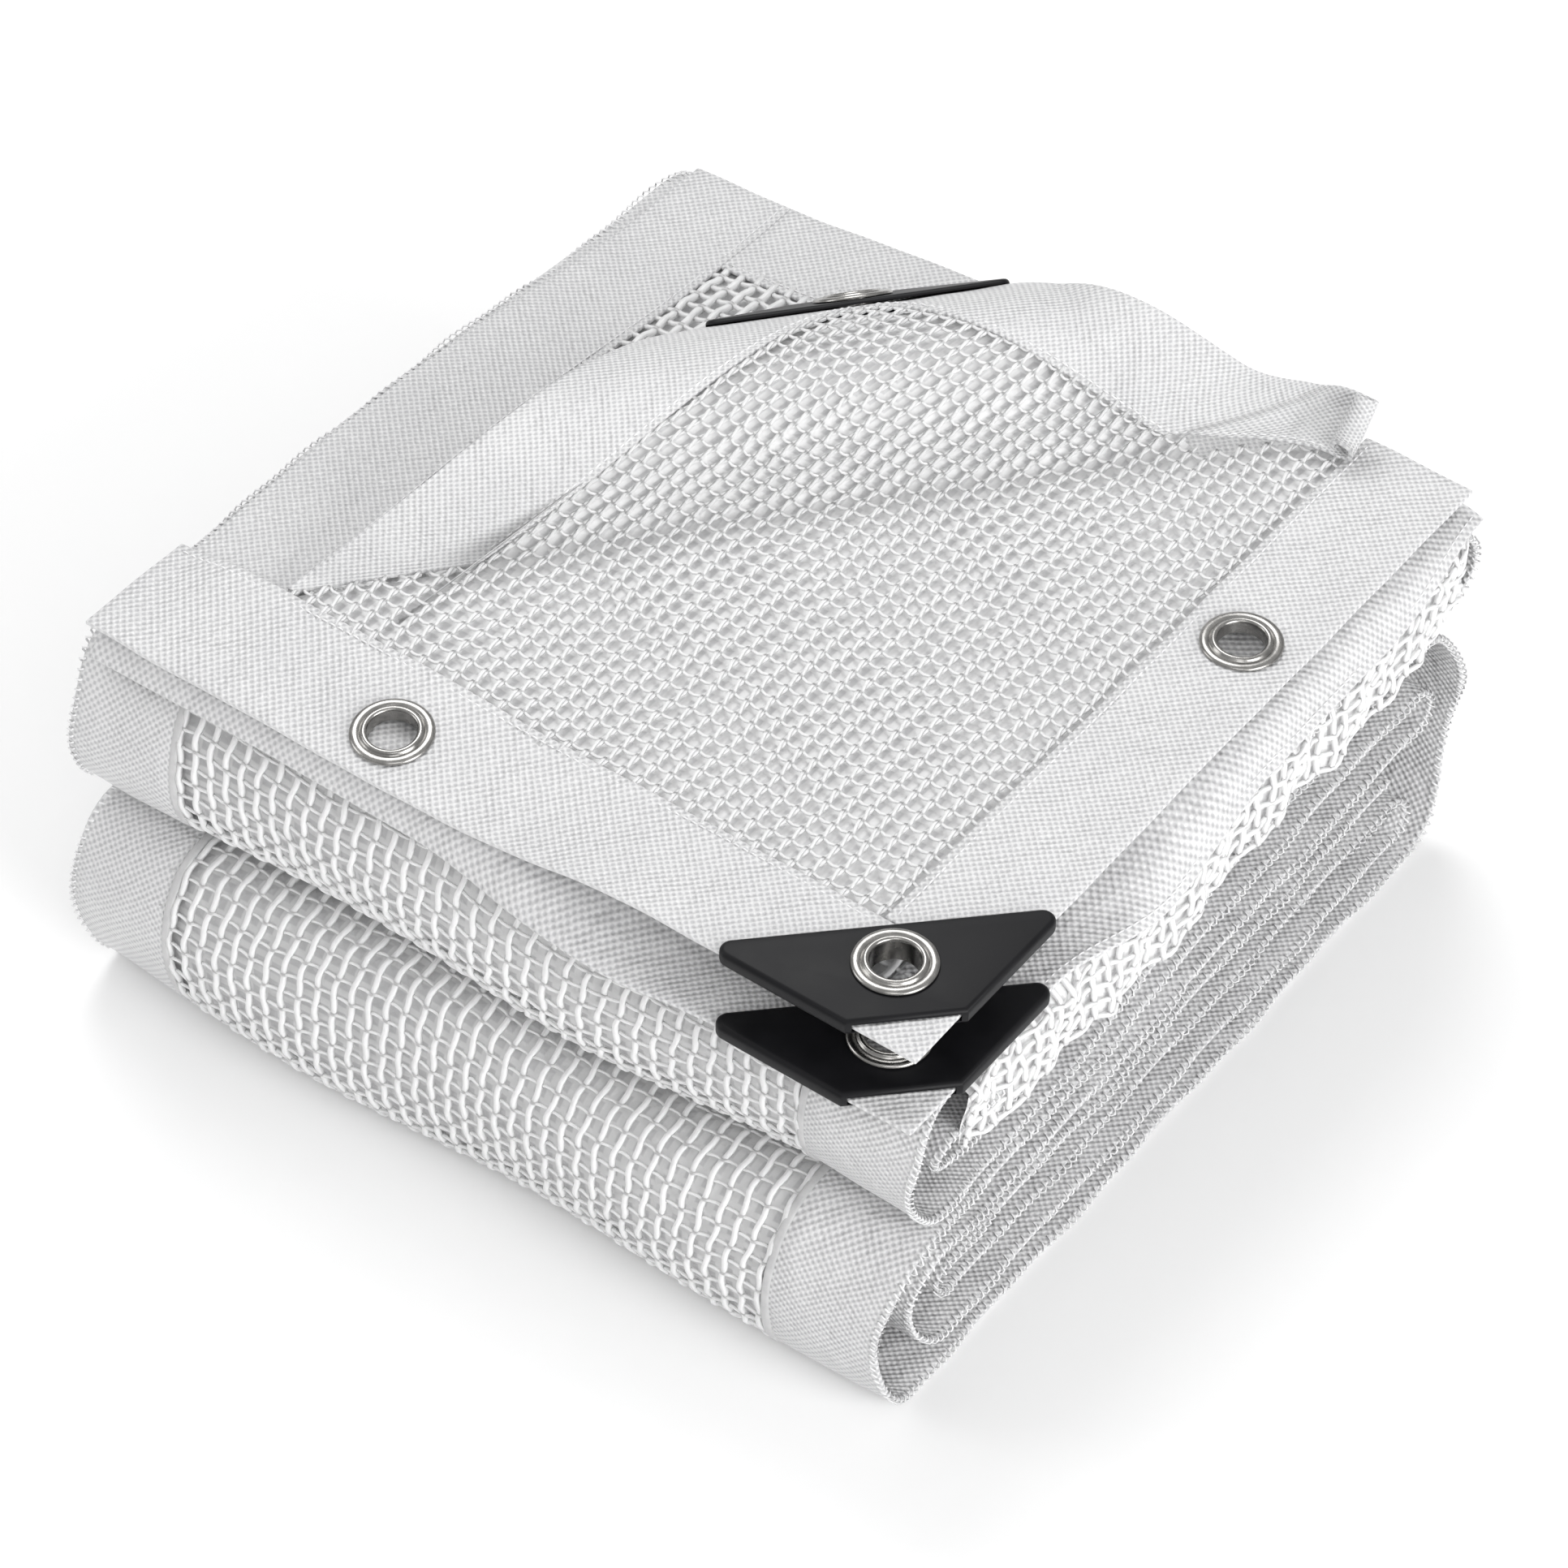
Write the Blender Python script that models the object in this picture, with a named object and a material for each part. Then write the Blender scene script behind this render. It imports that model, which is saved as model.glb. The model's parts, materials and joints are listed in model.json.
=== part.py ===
"""Folded shade cloth: open net with a woven binding, plastic corner guards and metal eyelets.

The stack lies on the floor. X runs along the front folds, Y to the back and Z up, in metres.
One long back-and-forth run of net carries two bound sheets on top, and the back left corner
of the upper sheet stands up and curls over.
"""

import math
from collections import namedtuple

import bmesh
import bpy
import numpy as np
from mathutils import Matrix, Vector

CLOTH = 0.002
GAP = 0.0003
SEAT = CLOTH + 0.0014

BAND = 0.038
STACK_LEFT, STACK_RIGHT = -0.150, 0.150
STACK_TOP = 0.143
RUN_FRONT, RUN_BACK = -0.115, 0.125
FREE_END_LOW, FREE_END_HIGH = 0.122, 0.136

Layer = namedtuple("Layer", "front back")
LAYERS = {
    1: Layer(0.001, 0.001),
    2: Layer(0.014, 0.016),
    3: Layer(0.028, 0.030),
    4: Layer(0.042, 0.044),
    5: Layer(0.056, 0.061),
    6: Layer(0.069, 0.076),
    7: Layer(0.075, 0.093),
    8: Layer(0.095, 0.102),
    9: Layer(0.113, 0.118),
    10: Layer(0.134, 0.133),
}

Turn = namedtuple("Turn", "side leaves enters reach depth square steps")
TURNS = (
    Turn("front", 4, 3, -0.126, 0.009, 1.0, 6),
    Turn("back", 3, 2, 0.134, 0.009, 1.0, 6),
    Turn("front", 2, 5, -0.140, 0.020, 0.8, 8),
    Turn("back", 5, 6, 0.138, 0.009, 1.0, 6),
    Turn("front", 6, 1, -0.157, 0.028, 0.6, 10),
    Turn("back", 1, 7, 0.158, 0.028, 0.7, 10),
    Turn("front", 7, 10, -0.150, 0.022, 0.75, 9),
    Turn("back", 10, 8, 0.157, 0.020, 0.8, 8),
    Turn("front", 8, 9, -0.137, 0.010, 1.0, 6),
)
SIDE = {"front": -1.0, "back": 1.0}
RUN_SHARES = (0.25, 0.5, 0.75)
PARTED_RUNS = (5, 7)
SPANS = ("low", "middle", "top")

RIPPLE = 0.0011
RIPPLE_LONG, RIPPLE_DEEP = 0.21, 0.26
FOLD_WAVE = 0.0018
FOLD_WAVE_LONG = 0.17
EDGE_STAGGER = 0.0016
FRONT_CORNER_DROP = 0.0175
FRONT_SET_BACK_LOW, FRONT_SET_BACK_HIGH = 0.005, 0.012
BACK_CORNER_DROP = 0.008

LOWER_LEFT, LOWER_RIGHT = -0.143, 0.150
LOWER_FRONT, LOWER_BACK = -0.1405, 0.149
LOWER_RISE = 0.0085
LOWER_CORNER_OUT = (0.0035, -0.006)
APRON = 0.010
SIDE_APRON = 0.013
APRON_BEND = 0.012
CORNER_FAR, CORNER_NEAR = 0.120, 0.064

UPPER = 0.149
UPPER_LEFT, UPPER_RIGHT = -0.145, 0.150
UPPER_FRONT, UPPER_BACK = -0.1405, 0.149
INNER_FRONT = UPPER_FRONT + BAND
FRONT_BOW = 0.005
UPPER_FRONT_SLOPE = 0.004

FLAP_START = (-0.105, -0.104)
FLAP_END = (0.106, 0.149)
FLAP_BAND_INNER = FLAP_START[0] + BAND
FLAP_BACK_INNER = UPPER_BACK - BAND
RISE_DEG, FALL_DEG = 72.0, -39.0
VALLEY_BEND = 0.0065
SHORTEN, SHORTEN_UNTIL = 0.71, 0.110
CORNER_BEND_FROM, CORNER_BEND_RADIUS = 0.1520, 0.010
Station = namedtuple("Station", "along straight radius")
FLAP_STATIONS = (
    Station(0.000, 0.001, 0.0377),
    Station(0.140, 0.0114, 0.0300),
    Station(0.250, 0.0114, 0.0300),
    Station(0.330, 0.0276, 0.0460),
)
FLAP_SEAM = 0.0020
ROW_FLAT = (1.0, 0.66, 0.33, 0.0)
ROW_LIFTED = (0.1, 0.22, 0.36, 0.5, 0.64, 0.78, 0.9, 1.0)
TIP_LIFT, TIP_NARROWS = 0.014, 0.6
LAP_LIFT = 0.0027

EYELET_OUT, EYELET_HOLE, EYELET_WALL = 0.0125, 0.0073, 0.0009
EYELET_BACK_OUT = 0.0115
CLOTH_HOLE = EYELET_HOLE + EYELET_WALL + GAP
EYELET_SIDES = 20
FRONT_EYELET = (-0.043, -0.125)
RIGHT_EYELET = (0.131, 0.050)

GUARD_THICK, GUARD_ROOM = 0.0054, 0.0026
GUARD_LONG, GUARD_SHORT = 0.0498, 0.0145
GUARD_OVER, GUARD_WALL = 0.0018, 0.0013
GUARD_ROUND, GUARD_ROUND_STEPS = 0.0037, 4
GUARD_EYELET = 0.0345

Look = namedtuple("Look", "colour roughness metallic")
LOOKS = {
    "net": Look((0.86, 0.86, 0.85), 0.6, 0.0),
    "binding": Look((0.90, 0.90, 0.89), 0.45, 0.0),
    "guard": Look((0.013, 0.013, 0.016), 0.38, 0.0),
    "eyelet": Look((0.62, 0.61, 0.58), 0.25, 1.0),
}


def smooth(value, start, end):
    """Soft step of value, 0 at start and 1 at end."""
    share = np.clip((value - start) / (end - start), 0.0, 1.0)
    return share * share * (3.0 - 2.0 * share)


def mix(first, second, share):
    """Blend of two values, all first at 0 and all second at 1."""
    return first * (1.0 - share) + second * share


def corner_distance(x, y, tip):
    """How far a point lies from a front right corner tip, along that corner's diagonal."""
    return ((tip[0] - x) + (y - tip[1])) / math.sqrt(2.0)


def front_corner(x, y, far, near):
    """Weight of the front right corner, 1 within near of the stack's corner and 0 past far."""
    return smooth(corner_distance(x, y, (UPPER_RIGHT, UPPER_FRONT)), far, near)


def back_corner(x, y):
    """Weight of the back left corner, where the loose stack has sunk."""
    return smooth(x, 0.02, -0.125) * smooth(y, -0.02, 0.125)


def settle(x, y, z):
    """Moves a point of the neat stack to where the loose, uneven cloth has it."""
    height = np.clip((z - CLOTH / 2) / STACK_TOP, 0.0, 1.0)
    front = front_corner(x, y, CORNER_FAR, CORNER_NEAR)
    back = back_corner(x, y)
    wave = np.sin(2 * math.pi * x / RIPPLE_LONG + 0.8) * np.cos(2 * math.pi * y / RIPPLE_DEEP)
    z_new = z - FRONT_CORNER_DROP * height**1.5 * front - BACK_CORNER_DROP * height * back
    z_new = z_new + RIPPLE * height * wave * (1.0 - front)
    at_fold = smooth(abs(y), 0.09, 0.14)
    y_new = y + FOLD_WAVE * at_fold * np.sin(2 * math.pi * x / FOLD_WAVE_LONG + 40.0 * z + 0.5)
    set_back = mix(FRONT_SET_BACK_LOW, FRONT_SET_BACK_HIGH, smooth(z, 0.060, 0.085))
    y_new = y_new + set_back * smooth(-y, 0.09, 0.14) * smooth(x, -0.10, 0.15)
    at_end = smooth(abs(x), 0.10, 0.15)
    x_new = x + EDGE_STAGGER * at_end * np.sin(115.0 * z + 0.6)
    return x_new, y_new, z_new


def layer_height(layer, y):
    """Height of one run of the stack at depth y."""
    share = np.clip((y - RUN_FRONT) / (RUN_BACK - RUN_FRONT), 0.0, 1.0)
    return mix(LAYERS[layer].front, LAYERS[layer].back, share)


def turn_points(turn):
    """The rounded fold that joins two runs, as (y, z) points."""
    side = SIDE[turn.side]
    start = turn.reach - side * turn.depth
    low, high = layer_height(turn.leaves, start), layer_height(turn.enters, start)
    middle, half = (low + high) / 2, (high - low) / 2
    points = []
    for step in range(turn.steps + 1):
        angle = math.pi * step / turn.steps
        out = max(math.sin(angle), 0.0) ** turn.square
        points.append((start + side * turn.depth * out, middle - half * math.cos(angle)))
    return points


def run_points(layer, start, end):
    """Points along one run of the stack, between its two folds."""
    return [(mix(start, end, share), layer_height(layer, mix(start, end, share))) for share in RUN_SHARES]


def stack_spans():
    """The stack's back-and-forth section as three spans of (y, z) points, parted halfway along two runs."""
    first = TURNS[0].leaves
    span = [(FREE_END_LOW, layer_height(first, FREE_END_LOW))]
    spans = []
    for turn in TURNS:
        bend = turn_points(turn)
        before, middle, after = run_points(turn.leaves, span[-1][0], bend[0][0])
        if turn.leaves in PARTED_RUNS:
            step = math.copysign(GAP / 2, bend[0][0] - middle[0])
            spans.append(span + [before, (middle[0] - step, middle[1])])
            span = [(middle[0] + step, middle[1]), after]
        else:
            span += [before, middle, after]
        span += bend
    last = TURNS[-1].enters
    span += run_points(last, span[-1][0], FREE_END_HIGH)
    span.append((FREE_END_HIGH, layer_height(last, FREE_END_HIGH)))
    return spans + [span]


def lower_height(x, y):
    """Height of the lower bound sheet, which follows the top of the stack."""
    _, _, top = settle(x, y, layer_height(10, y))
    return top + mix(LOWER_RISE, SEAT, back_corner(x, y))


def lower_place(x, y):
    """A point of the lower bound sheet, whose front right corner has slid out."""
    slid = front_corner(x, y, CORNER_FAR, CORNER_NEAR)
    return x + LOWER_CORNER_OUT[0] * slid, y + LOWER_CORNER_OUT[1] * slid, lower_height(x, y)


def hang(width, extra, flat):
    """How far a hanging binding reaches out and drops, at a share of its width from its seam."""
    reach = BAND + extra * (1.0 - flat)
    along = width * reach / BAND
    level = min(along, BAND - APRON_BEND / 2)
    past = along - level
    turned = (1.0 - flat) * min(past / APRON_BEND, 1.3)
    if turned < 0.001:
        return along, 0.0
    return level + past * math.sin(turned) / turned, past * (1.0 - math.cos(turned)) / turned


def apron_place(x, width):
    """A point of the lower sheet's front binding, which hangs over the folds but for its corner."""
    out, drop = hang(width, APRON, smooth(x, 0.030, 0.078))
    px, py, pz = lower_place(x, INNER_FRONT - min(out, BAND))
    return px, py - max(out - BAND, 0.0), pz - drop


def side_apron_place(width, y):
    """A point of the lower sheet's right binding, which hangs over the stack's end behind its corner."""
    hanging = smooth(y, -0.070, -0.010) * (1.0 - 0.6 * smooth(y, 0.090, 0.149))
    out, drop = hang(width, SIDE_APRON, 1.0 - hanging)
    px, py, pz = lower_place(LOWER_RIGHT - BAND + min(out, BAND), y)
    return px + max(out - BAND, 0.0), py, pz - drop


def upper_height(x, y):
    """Height of the upper bound sheet where it lies flat."""
    corner = front_corner(x, y, CORNER_FAR, CORNER_NEAR)
    share = np.clip((INNER_FRONT - y) / BAND, 0.0, 1.0)
    slope = UPPER_FRONT_SLOPE * share * (1.0 - corner)
    wave = RIPPLE * np.sin(2 * math.pi * x / 0.16 + 1.1) * np.cos(2 * math.pi * y / 0.22) * (1.0 - corner)
    level = UPPER - slope + 0.6 * wave
    end = smooth(-x, 0.122, 0.140) * smooth(-y, 0.08, 0.10)
    return mix(level, lower_height(x, y) + SEAT, end)


def valley_frame():
    """Start, direction, length and outward normal of the crease that the lifted corner rises from."""
    start = np.array(FLAP_START)
    along = np.array(FLAP_END) - start
    length = float(np.hypot(*along))
    along = along / length
    return start, along, length, np.array([-along[1], along[0]])


def flap_profile(station, distance):
    """How far out and how high the lifted cloth lies, at a distance up the sheet from its crease."""
    stations = [row.along for row in FLAP_STATIONS]
    straight = np.interp(station, stations, [row.straight for row in FLAP_STATIONS])
    radius = np.interp(station, stations, [row.radius for row in FLAP_STATIONS])
    rise, fall = math.radians(RISE_DEG), math.radians(FALL_DEG)
    length = SHORTEN * min(distance, SHORTEN_UNTIL) + max(distance - SHORTEN_UNTIL, 0.0)
    steps = 60
    arc = (np.arange(steps) + 0.5) * length / steps
    angle = np.clip(rise * arc / VALLEY_BEND, 0.0, rise)
    over = arc - VALLEY_BEND - straight
    angle = np.where(over > 0, np.maximum(rise - over / radius, fall), angle)
    tip = arc - SHORTEN * SHORTEN_UNTIL - (CORNER_BEND_FROM - SHORTEN_UNTIL)
    angle = np.where(tip > 0, np.minimum(fall + tip / CORNER_BEND_RADIUS, 0.0), angle)
    return float(np.cos(angle).sum() * length / steps), float(np.sin(angle).sum() * length / steps)


def flat_place(x, y):
    """A point of the upper sheet where it lies flat; its front edge bows out to the left."""
    share = max((INNER_FRONT - y) / BAND, 0.0)
    bow = FRONT_BOW * float(smooth(-x, -0.078, 0.045))
    return x, y - bow * share, float(upper_height(x, y))


def upper_place(u, v):
    """A point of the upper sheet, from its place when the sheet lies flat."""
    start, along, _, out = valley_frame()
    offset = np.array([u, v]) - start
    station, distance = float(offset @ along), float(offset @ out)
    if distance <= 0:
        return flat_place(u, v)
    reach, rise = flap_profile(station, distance)
    foot = start + along * station
    x, y = foot + out * reach
    base = mix(float(upper_height(*foot)), UPPER, float(smooth(distance, 0.0, 0.050)))
    return float(x), float(y), base + rise


def make_material(slot):
    """A plain finish with the colour, roughness and metal value of one kind of piece."""
    look = LOOKS[slot]
    material = bpy.data.materials.new(slot)
    material.use_nodes = True
    shader = material.node_tree.nodes["Principled BSDF"]
    shader.inputs["Base Color"].default_value = (*look.colour, 1.0)
    shader.inputs["Roughness"].default_value = look.roughness
    shader.inputs["Metallic"].default_value = look.metallic
    return material


def add_object(name, mesh, material):
    """Puts a mesh in the scene as one named piece."""
    piece = bpy.data.objects.new(name, mesh)
    piece.data.materials.append(material)
    bpy.context.scene.collection.objects.link(piece)
    return piece


def add_cloth(name, rows, material, holes=()):
    """A sheet of even thickness over rows of centre points, with a round hole at each cutter."""
    shape = bmesh.new()
    grid = [[shape.verts.new(point) for point in row] for row in rows]
    for near, far in zip(grid, grid[1:]):
        for left, right, right_far, left_far in zip(near, near[1:], far[1:], far):
            shape.faces.new((left, right, right_far, left_far))
    bmesh.ops.recalc_face_normals(shape, faces=shape.faces)
    mesh = bpy.data.meshes.new(name)
    shape.to_mesh(mesh)
    shape.free()
    piece = add_object(name, mesh, material)
    thick = piece.modifiers.new("Thickness", "SOLIDIFY")
    thick.thickness = CLOTH
    thick.offset = 0.0
    thick.use_even_offset = True
    for cutter in holes:
        cut_with(piece, cutter)
    for face in mesh.polygons:
        face.use_smooth = True
    return piece


def cut_with(piece, cutter):
    """Cuts a hidden cutter out of a piece."""
    cut = piece.modifiers.new("Hole", "BOOLEAN")
    cut.operation = "DIFFERENCE"
    cut.solver = "EXACT"
    cut.object = cutter


def hide_cutter(cutter):
    """Keeps a cutter out of the part."""
    cutter.hide_render = True
    cutter.display_type = "WIRE"


def hole_cutter(name, frame):
    """A round cutter for an eyelet's hole, along the frame's own Z."""
    shape = bmesh.new()
    bmesh.ops.create_cone(
        shape, cap_ends=True, segments=EYELET_SIDES, radius1=CLOTH_HOLE, radius2=CLOTH_HOLE, depth=0.014
    )
    mesh = bpy.data.meshes.new(name)
    shape.to_mesh(mesh)
    shape.free()
    cutter = bpy.data.objects.new(name, mesh)
    bpy.context.scene.collection.objects.link(cutter)
    cutter.matrix_world = frame
    hide_cutter(cutter)
    return cutter


def surface_frame(place, x, y, step=0.004):
    """Frame on a sheet at one place, with Z along the sheet's upward normal."""
    centre = Vector(place(x, y))
    along_x = Vector(place(x + step, y)) - Vector(place(x - step, y))
    along_y = Vector(place(x, y + step)) - Vector(place(x, y - step))
    normal = along_x.cross(along_y).normalized()
    along_x.normalize()
    axes = Matrix((along_x, normal.cross(along_x), normal)).transposed()
    return Matrix.Translation(centre) @ axes.to_4x4()


def corner_frame(place, tip, inward, near=0.016, far=0.030, across=0.010):
    """Frame of a cloth corner's flat part, with its origin at the corner, Y out along the diagonal and Z up."""

    def at(along_x, along_y):
        return Vector(place(tip[0] + inward[0] * along_x, tip[1] + inward[1] * along_y))

    outer, inner = at(near, near), at(far, far)
    out = (outer - inner).normalized()
    normal = (at(far + across, far - across) - at(far - across, far + across)).cross(out).normalized()
    if normal.z < 0:
        normal.negate()
    axes = Matrix((out.cross(normal), out, normal)).transposed()
    corner = outer + (outer - inner) * (near / (far - near))
    return Matrix.Translation(corner) @ axes.to_4x4()


def eyelet_profile(grip):
    """Turned section of an eyelet that grips a given thickness, as (radius, height) points."""
    top, bottom = grip / 2 + GAP, -grip / 2 - GAP
    return (
        (EYELET_HOLE, bottom - 0.0009),
        (EYELET_BACK_OUT, bottom - 0.0009),
        (EYELET_BACK_OUT, bottom),
        (EYELET_HOLE + EYELET_WALL, bottom),
        (EYELET_HOLE + EYELET_WALL, top),
        (EYELET_OUT, top),
        (EYELET_OUT - 0.0006, top + 0.0009),
        (EYELET_OUT - 0.0022, top + 0.0011),
        (EYELET_HOLE + 0.0014, top + 0.0016),
        (EYELET_HOLE, top + 0.0008),
    )


def add_eyelet(name, frame, grip, material):
    """One turned metal eyelet with its flange on top and its washer below."""
    profile = eyelet_profile(grip)
    shape = bmesh.new()
    rings = []
    for radius, height in profile:
        angles = [2 * math.pi * side / EYELET_SIDES for side in range(EYELET_SIDES)]
        rings.append([shape.verts.new((radius * math.cos(a), radius * math.sin(a), height)) for a in angles])
    for ring, next_ring in zip(rings, rings[1:] + rings[:1]):
        for side in range(EYELET_SIDES):
            beside = (side + 1) % EYELET_SIDES
            shape.faces.new((ring[side], ring[beside], next_ring[beside], next_ring[side]))
    bmesh.ops.recalc_face_normals(shape, faces=shape.faces)
    mesh = bpy.data.meshes.new(name)
    shape.to_mesh(mesh)
    shape.free()
    piece = add_object(name, mesh, material)
    piece.matrix_world = frame
    mesh.shade_smooth()
    mesh.set_sharp_from_angle(angle=math.radians(40))
    return piece


def guard_outline(over, long_edge, short_edge, round_radius):
    """Outline of a corner guard: a long edge inside the sheet, and two sides along the cloth's edges."""
    spread = over * math.sqrt(2.0)
    wide, narrow = long_edge + spread, short_edge + spread
    if round_radius == 0:
        return [(-wide, -long_edge), (wide, -long_edge), (narrow, -short_edge), (-narrow, -short_edge)]
    reach = round_radius / math.tan(math.radians(22.5))
    centre = (wide - reach, -long_edge + round_radius)
    points = []
    for step in range(GUARD_ROUND_STEPS + 1):
        angle = math.radians(-90 + 135 * step / GUARD_ROUND_STEPS)
        points.append((centre[0] + round_radius * math.cos(angle), centre[1] + round_radius * math.sin(angle)))
    points.append((narrow, -short_edge))
    return points + [(-x, y) for x, y in reversed(points)]


def prism(name, outline, low, high):
    """A closed prism over an outline."""
    shape = bmesh.new()
    base = [shape.verts.new((x, y, low)) for x, y in outline]
    face = shape.faces.new(base)
    grown = bmesh.ops.extrude_face_region(shape, geom=[face])
    moved = [part for part in grown["geom"] if isinstance(part, bmesh.types.BMVert)]
    bmesh.ops.translate(shape, verts=moved, vec=(0, 0, high - low))
    bmesh.ops.recalc_face_normals(shape, faces=shape.faces)
    mesh = bpy.data.meshes.new(name)
    shape.to_mesh(mesh)
    shape.free()
    return mesh


def add_guard(name, frame, material):
    """A plastic corner guard: a flat sleeve over the cloth's corner, open at its two cross edges."""
    outline = guard_outline(GUARD_OVER, GUARD_LONG, GUARD_SHORT, GUARD_ROUND)
    piece = add_object(name, prism(name, outline, -GUARD_THICK / 2, GUARD_THICK / 2), material)
    piece.matrix_world = frame
    rolled = piece.modifiers.new("Rolled edges", "BEVEL")
    rolled.width = 0.0011
    rolled.segments = 2
    rolled.limit_method = "ANGLE"
    rolled.angle_limit = math.radians(60)
    room = guard_outline(GUARD_OVER - GUARD_WALL, GUARD_LONG + 0.004, GUARD_SHORT - 0.004, 0)
    cutter = bpy.data.objects.new(name + "_room", prism(name + "_room", room, -GUARD_ROOM / 2, GUARD_ROOM / 2))
    bpy.context.scene.collection.objects.link(cutter)
    cutter.matrix_world = frame
    hide_cutter(cutter)
    cut_with(piece, cutter)
    cut_with(piece, hole_cutter(name + "_hole", frame @ Matrix.Translation((0, -GUARD_EYELET, 0))))
    return piece


def grid_rows(place, firsts, seconds):
    """Rows of points of a sheet over two lists of sizes."""
    return [[place(first, second) for first in firsts] for second in seconds]


def add_stack(net, binding):
    """The folded run: net in the middle, and the binding along its left and right ends."""
    left_inner, right_inner = STACK_LEFT + BAND, STACK_RIGHT - BAND
    for name, section in zip(SPANS, stack_spans()):

        def rows(stations, section=section):
            return [[settle(x, y, z) for y, z in section] for x in stations]

        add_cloth("stack_net_" + name, rows(np.linspace(left_inner + GAP, right_inner - GAP, 9)), net)
        add_cloth("stack_binding_left_" + name, rows(np.linspace(STACK_LEFT, left_inner, 3)), binding)
        add_cloth("stack_binding_right_" + name, rows(np.linspace(right_inner, STACK_RIGHT, 3)), binding)


def add_lower_sheet(net, binding, holes):
    """The lower bound sheet: net, and a binding strip along each edge."""
    left, right = LOWER_LEFT + BAND, LOWER_RIGHT - BAND
    back = LOWER_BACK - BAND
    inner_x = np.linspace(left + GAP, right - GAP, 13)
    inner_y = np.linspace(INNER_FRONT + GAP, back - GAP, 11)
    left_x, right_x = np.linspace(LOWER_LEFT, left, 4), np.linspace(right, LOWER_RIGHT, 4)
    widths = (0.0, 0.014, 0.026, 0.029, 0.032, 0.035, BAND)
    back_y = np.linspace(back, LOWER_BACK, 4)
    full_y = np.concatenate([inner_y, back_y])
    add_cloth("lower_net", grid_rows(lower_place, inner_x, inner_y), net)
    add_cloth("lower_binding_left", grid_rows(lower_place, left_x, full_y), binding)
    add_cloth("lower_binding_right", grid_rows(side_apron_place, widths, full_y), binding)
    add_cloth("lower_binding_back", grid_rows(lower_place, inner_x, back_y), binding)
    full_x = np.concatenate([left_x, inner_x, right_x])
    add_cloth("lower_binding_front", grid_rows(apron_place, full_x, widths), binding, holes)


def upper_net_rows():
    """Rows across the crease: flat cloth on one side of it and the lifted corner on the other."""
    start, along, length, out = valley_frame()
    right, front = UPPER_RIGHT - BAND - GAP, INNER_FRONT + GAP
    left, back = FLAP_BAND_INNER + FLAP_SEAM, FLAP_BACK_INNER - FLAP_SEAM
    band_ends = (FLAP_BAND_INNER - start[0]) / along[0]
    rows = []
    for station in np.concatenate([np.linspace(0.010, band_ends, 4), np.linspace(band_ends, length, 18)[1:] - 0.004]):
        foot = start + along * station
        flat_part = min((foot[1] - front) / out[1], (foot[0] - right) / out[0])
        lifted = max(min((left - foot[0]) / out[0], (back - foot[1]) / out[1]), -FLAP_SEAM)
        even = np.linspace(-flat_part, lifted, len(ROW_FLAT) + len(ROW_LIFTED))
        graded = np.concatenate([-flat_part * np.array(ROW_FLAT), lifted * np.array(ROW_LIFTED)])
        distances = mix(even, graded, smooth(lifted, 0.015, 0.045))
        rows.append([upper_place(*(foot + out * distance)) for distance in distances])
    return rows


def flap_left_rows():
    """Rows across the binding on the lifted corner's left edge, from its pointed tip to the corner."""
    start, along, _, _ = valley_frame()
    narrow_until = start[1] + BAND * along[1] / along[0]
    rows = []
    lengths = [np.linspace(start[1] + 0.006, narrow_until, 5), np.linspace(narrow_until, UPPER_BACK, 16)[1:]]
    for v in np.concatenate(lengths):
        crease_u = start[0] + (v - start[1]) * along[0] / along[1]
        inner = min(FLAP_BAND_INNER, crease_u)
        rows.append([upper_place(u, v) for u in np.linspace(start[0], inner, 5)])
    return rows


def lap_place(u, v):
    """A point of the back binding, whose free right end laps over the flat net, narrows and rolls up."""
    share = (v - FLAP_BACK_INNER) / BAND
    tip = float(smooth(u, 0.055, 0.108))
    x, y, z = upper_place(u, v + (UPPER_BACK - v) * TIP_NARROWS * tip)
    start, _, _, out = valley_frame()
    distance = float((np.array([u, v]) - start) @ out)
    return x, y, z + LAP_LIFT * float(smooth(-distance, -0.012, -0.002)) + TIP_LIFT * tip * share**1.5


def flap_back_rows():
    """Rows across the binding on the lifted corner's back edge, out to its free tip."""
    lengths = np.linspace(FLAP_BAND_INNER + GAP, 0.112, 20)
    widths = np.linspace(FLAP_BACK_INNER, UPPER_BACK, 5)
    return [[lap_place(u, v) for u in lengths] for v in widths]


def add_upper_sheet(net, binding, holes):
    """The upper bound sheet: front and right bindings, net, and the bindings of the lifted corner."""
    right = UPPER_RIGHT - BAND
    front_widths = np.linspace(UPPER_FRONT, INNER_FRONT, 5)
    front_rows = grid_rows(flat_place, np.linspace(UPPER_LEFT, UPPER_RIGHT, 17), front_widths)
    add_cloth("upper_binding_front", front_rows, binding, holes["front"])
    right_lengths = np.linspace(INNER_FRONT + GAP, UPPER_BACK, 13)
    right_rows = grid_rows(flat_place, np.linspace(right, UPPER_RIGHT, 4), right_lengths)
    add_cloth("upper_binding_right", right_rows, binding, holes["right"])
    add_cloth("upper_net", upper_net_rows(), net)
    add_cloth("flap_binding_left", flap_left_rows(), binding, holes["flap"])
    add_cloth("flap_binding_back", flap_back_rows(), binding)


def clear_scene():
    """Removes what a new file starts with."""
    for item in list(bpy.data.objects):
        bpy.data.objects.remove(item, do_unlink=True)


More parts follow.
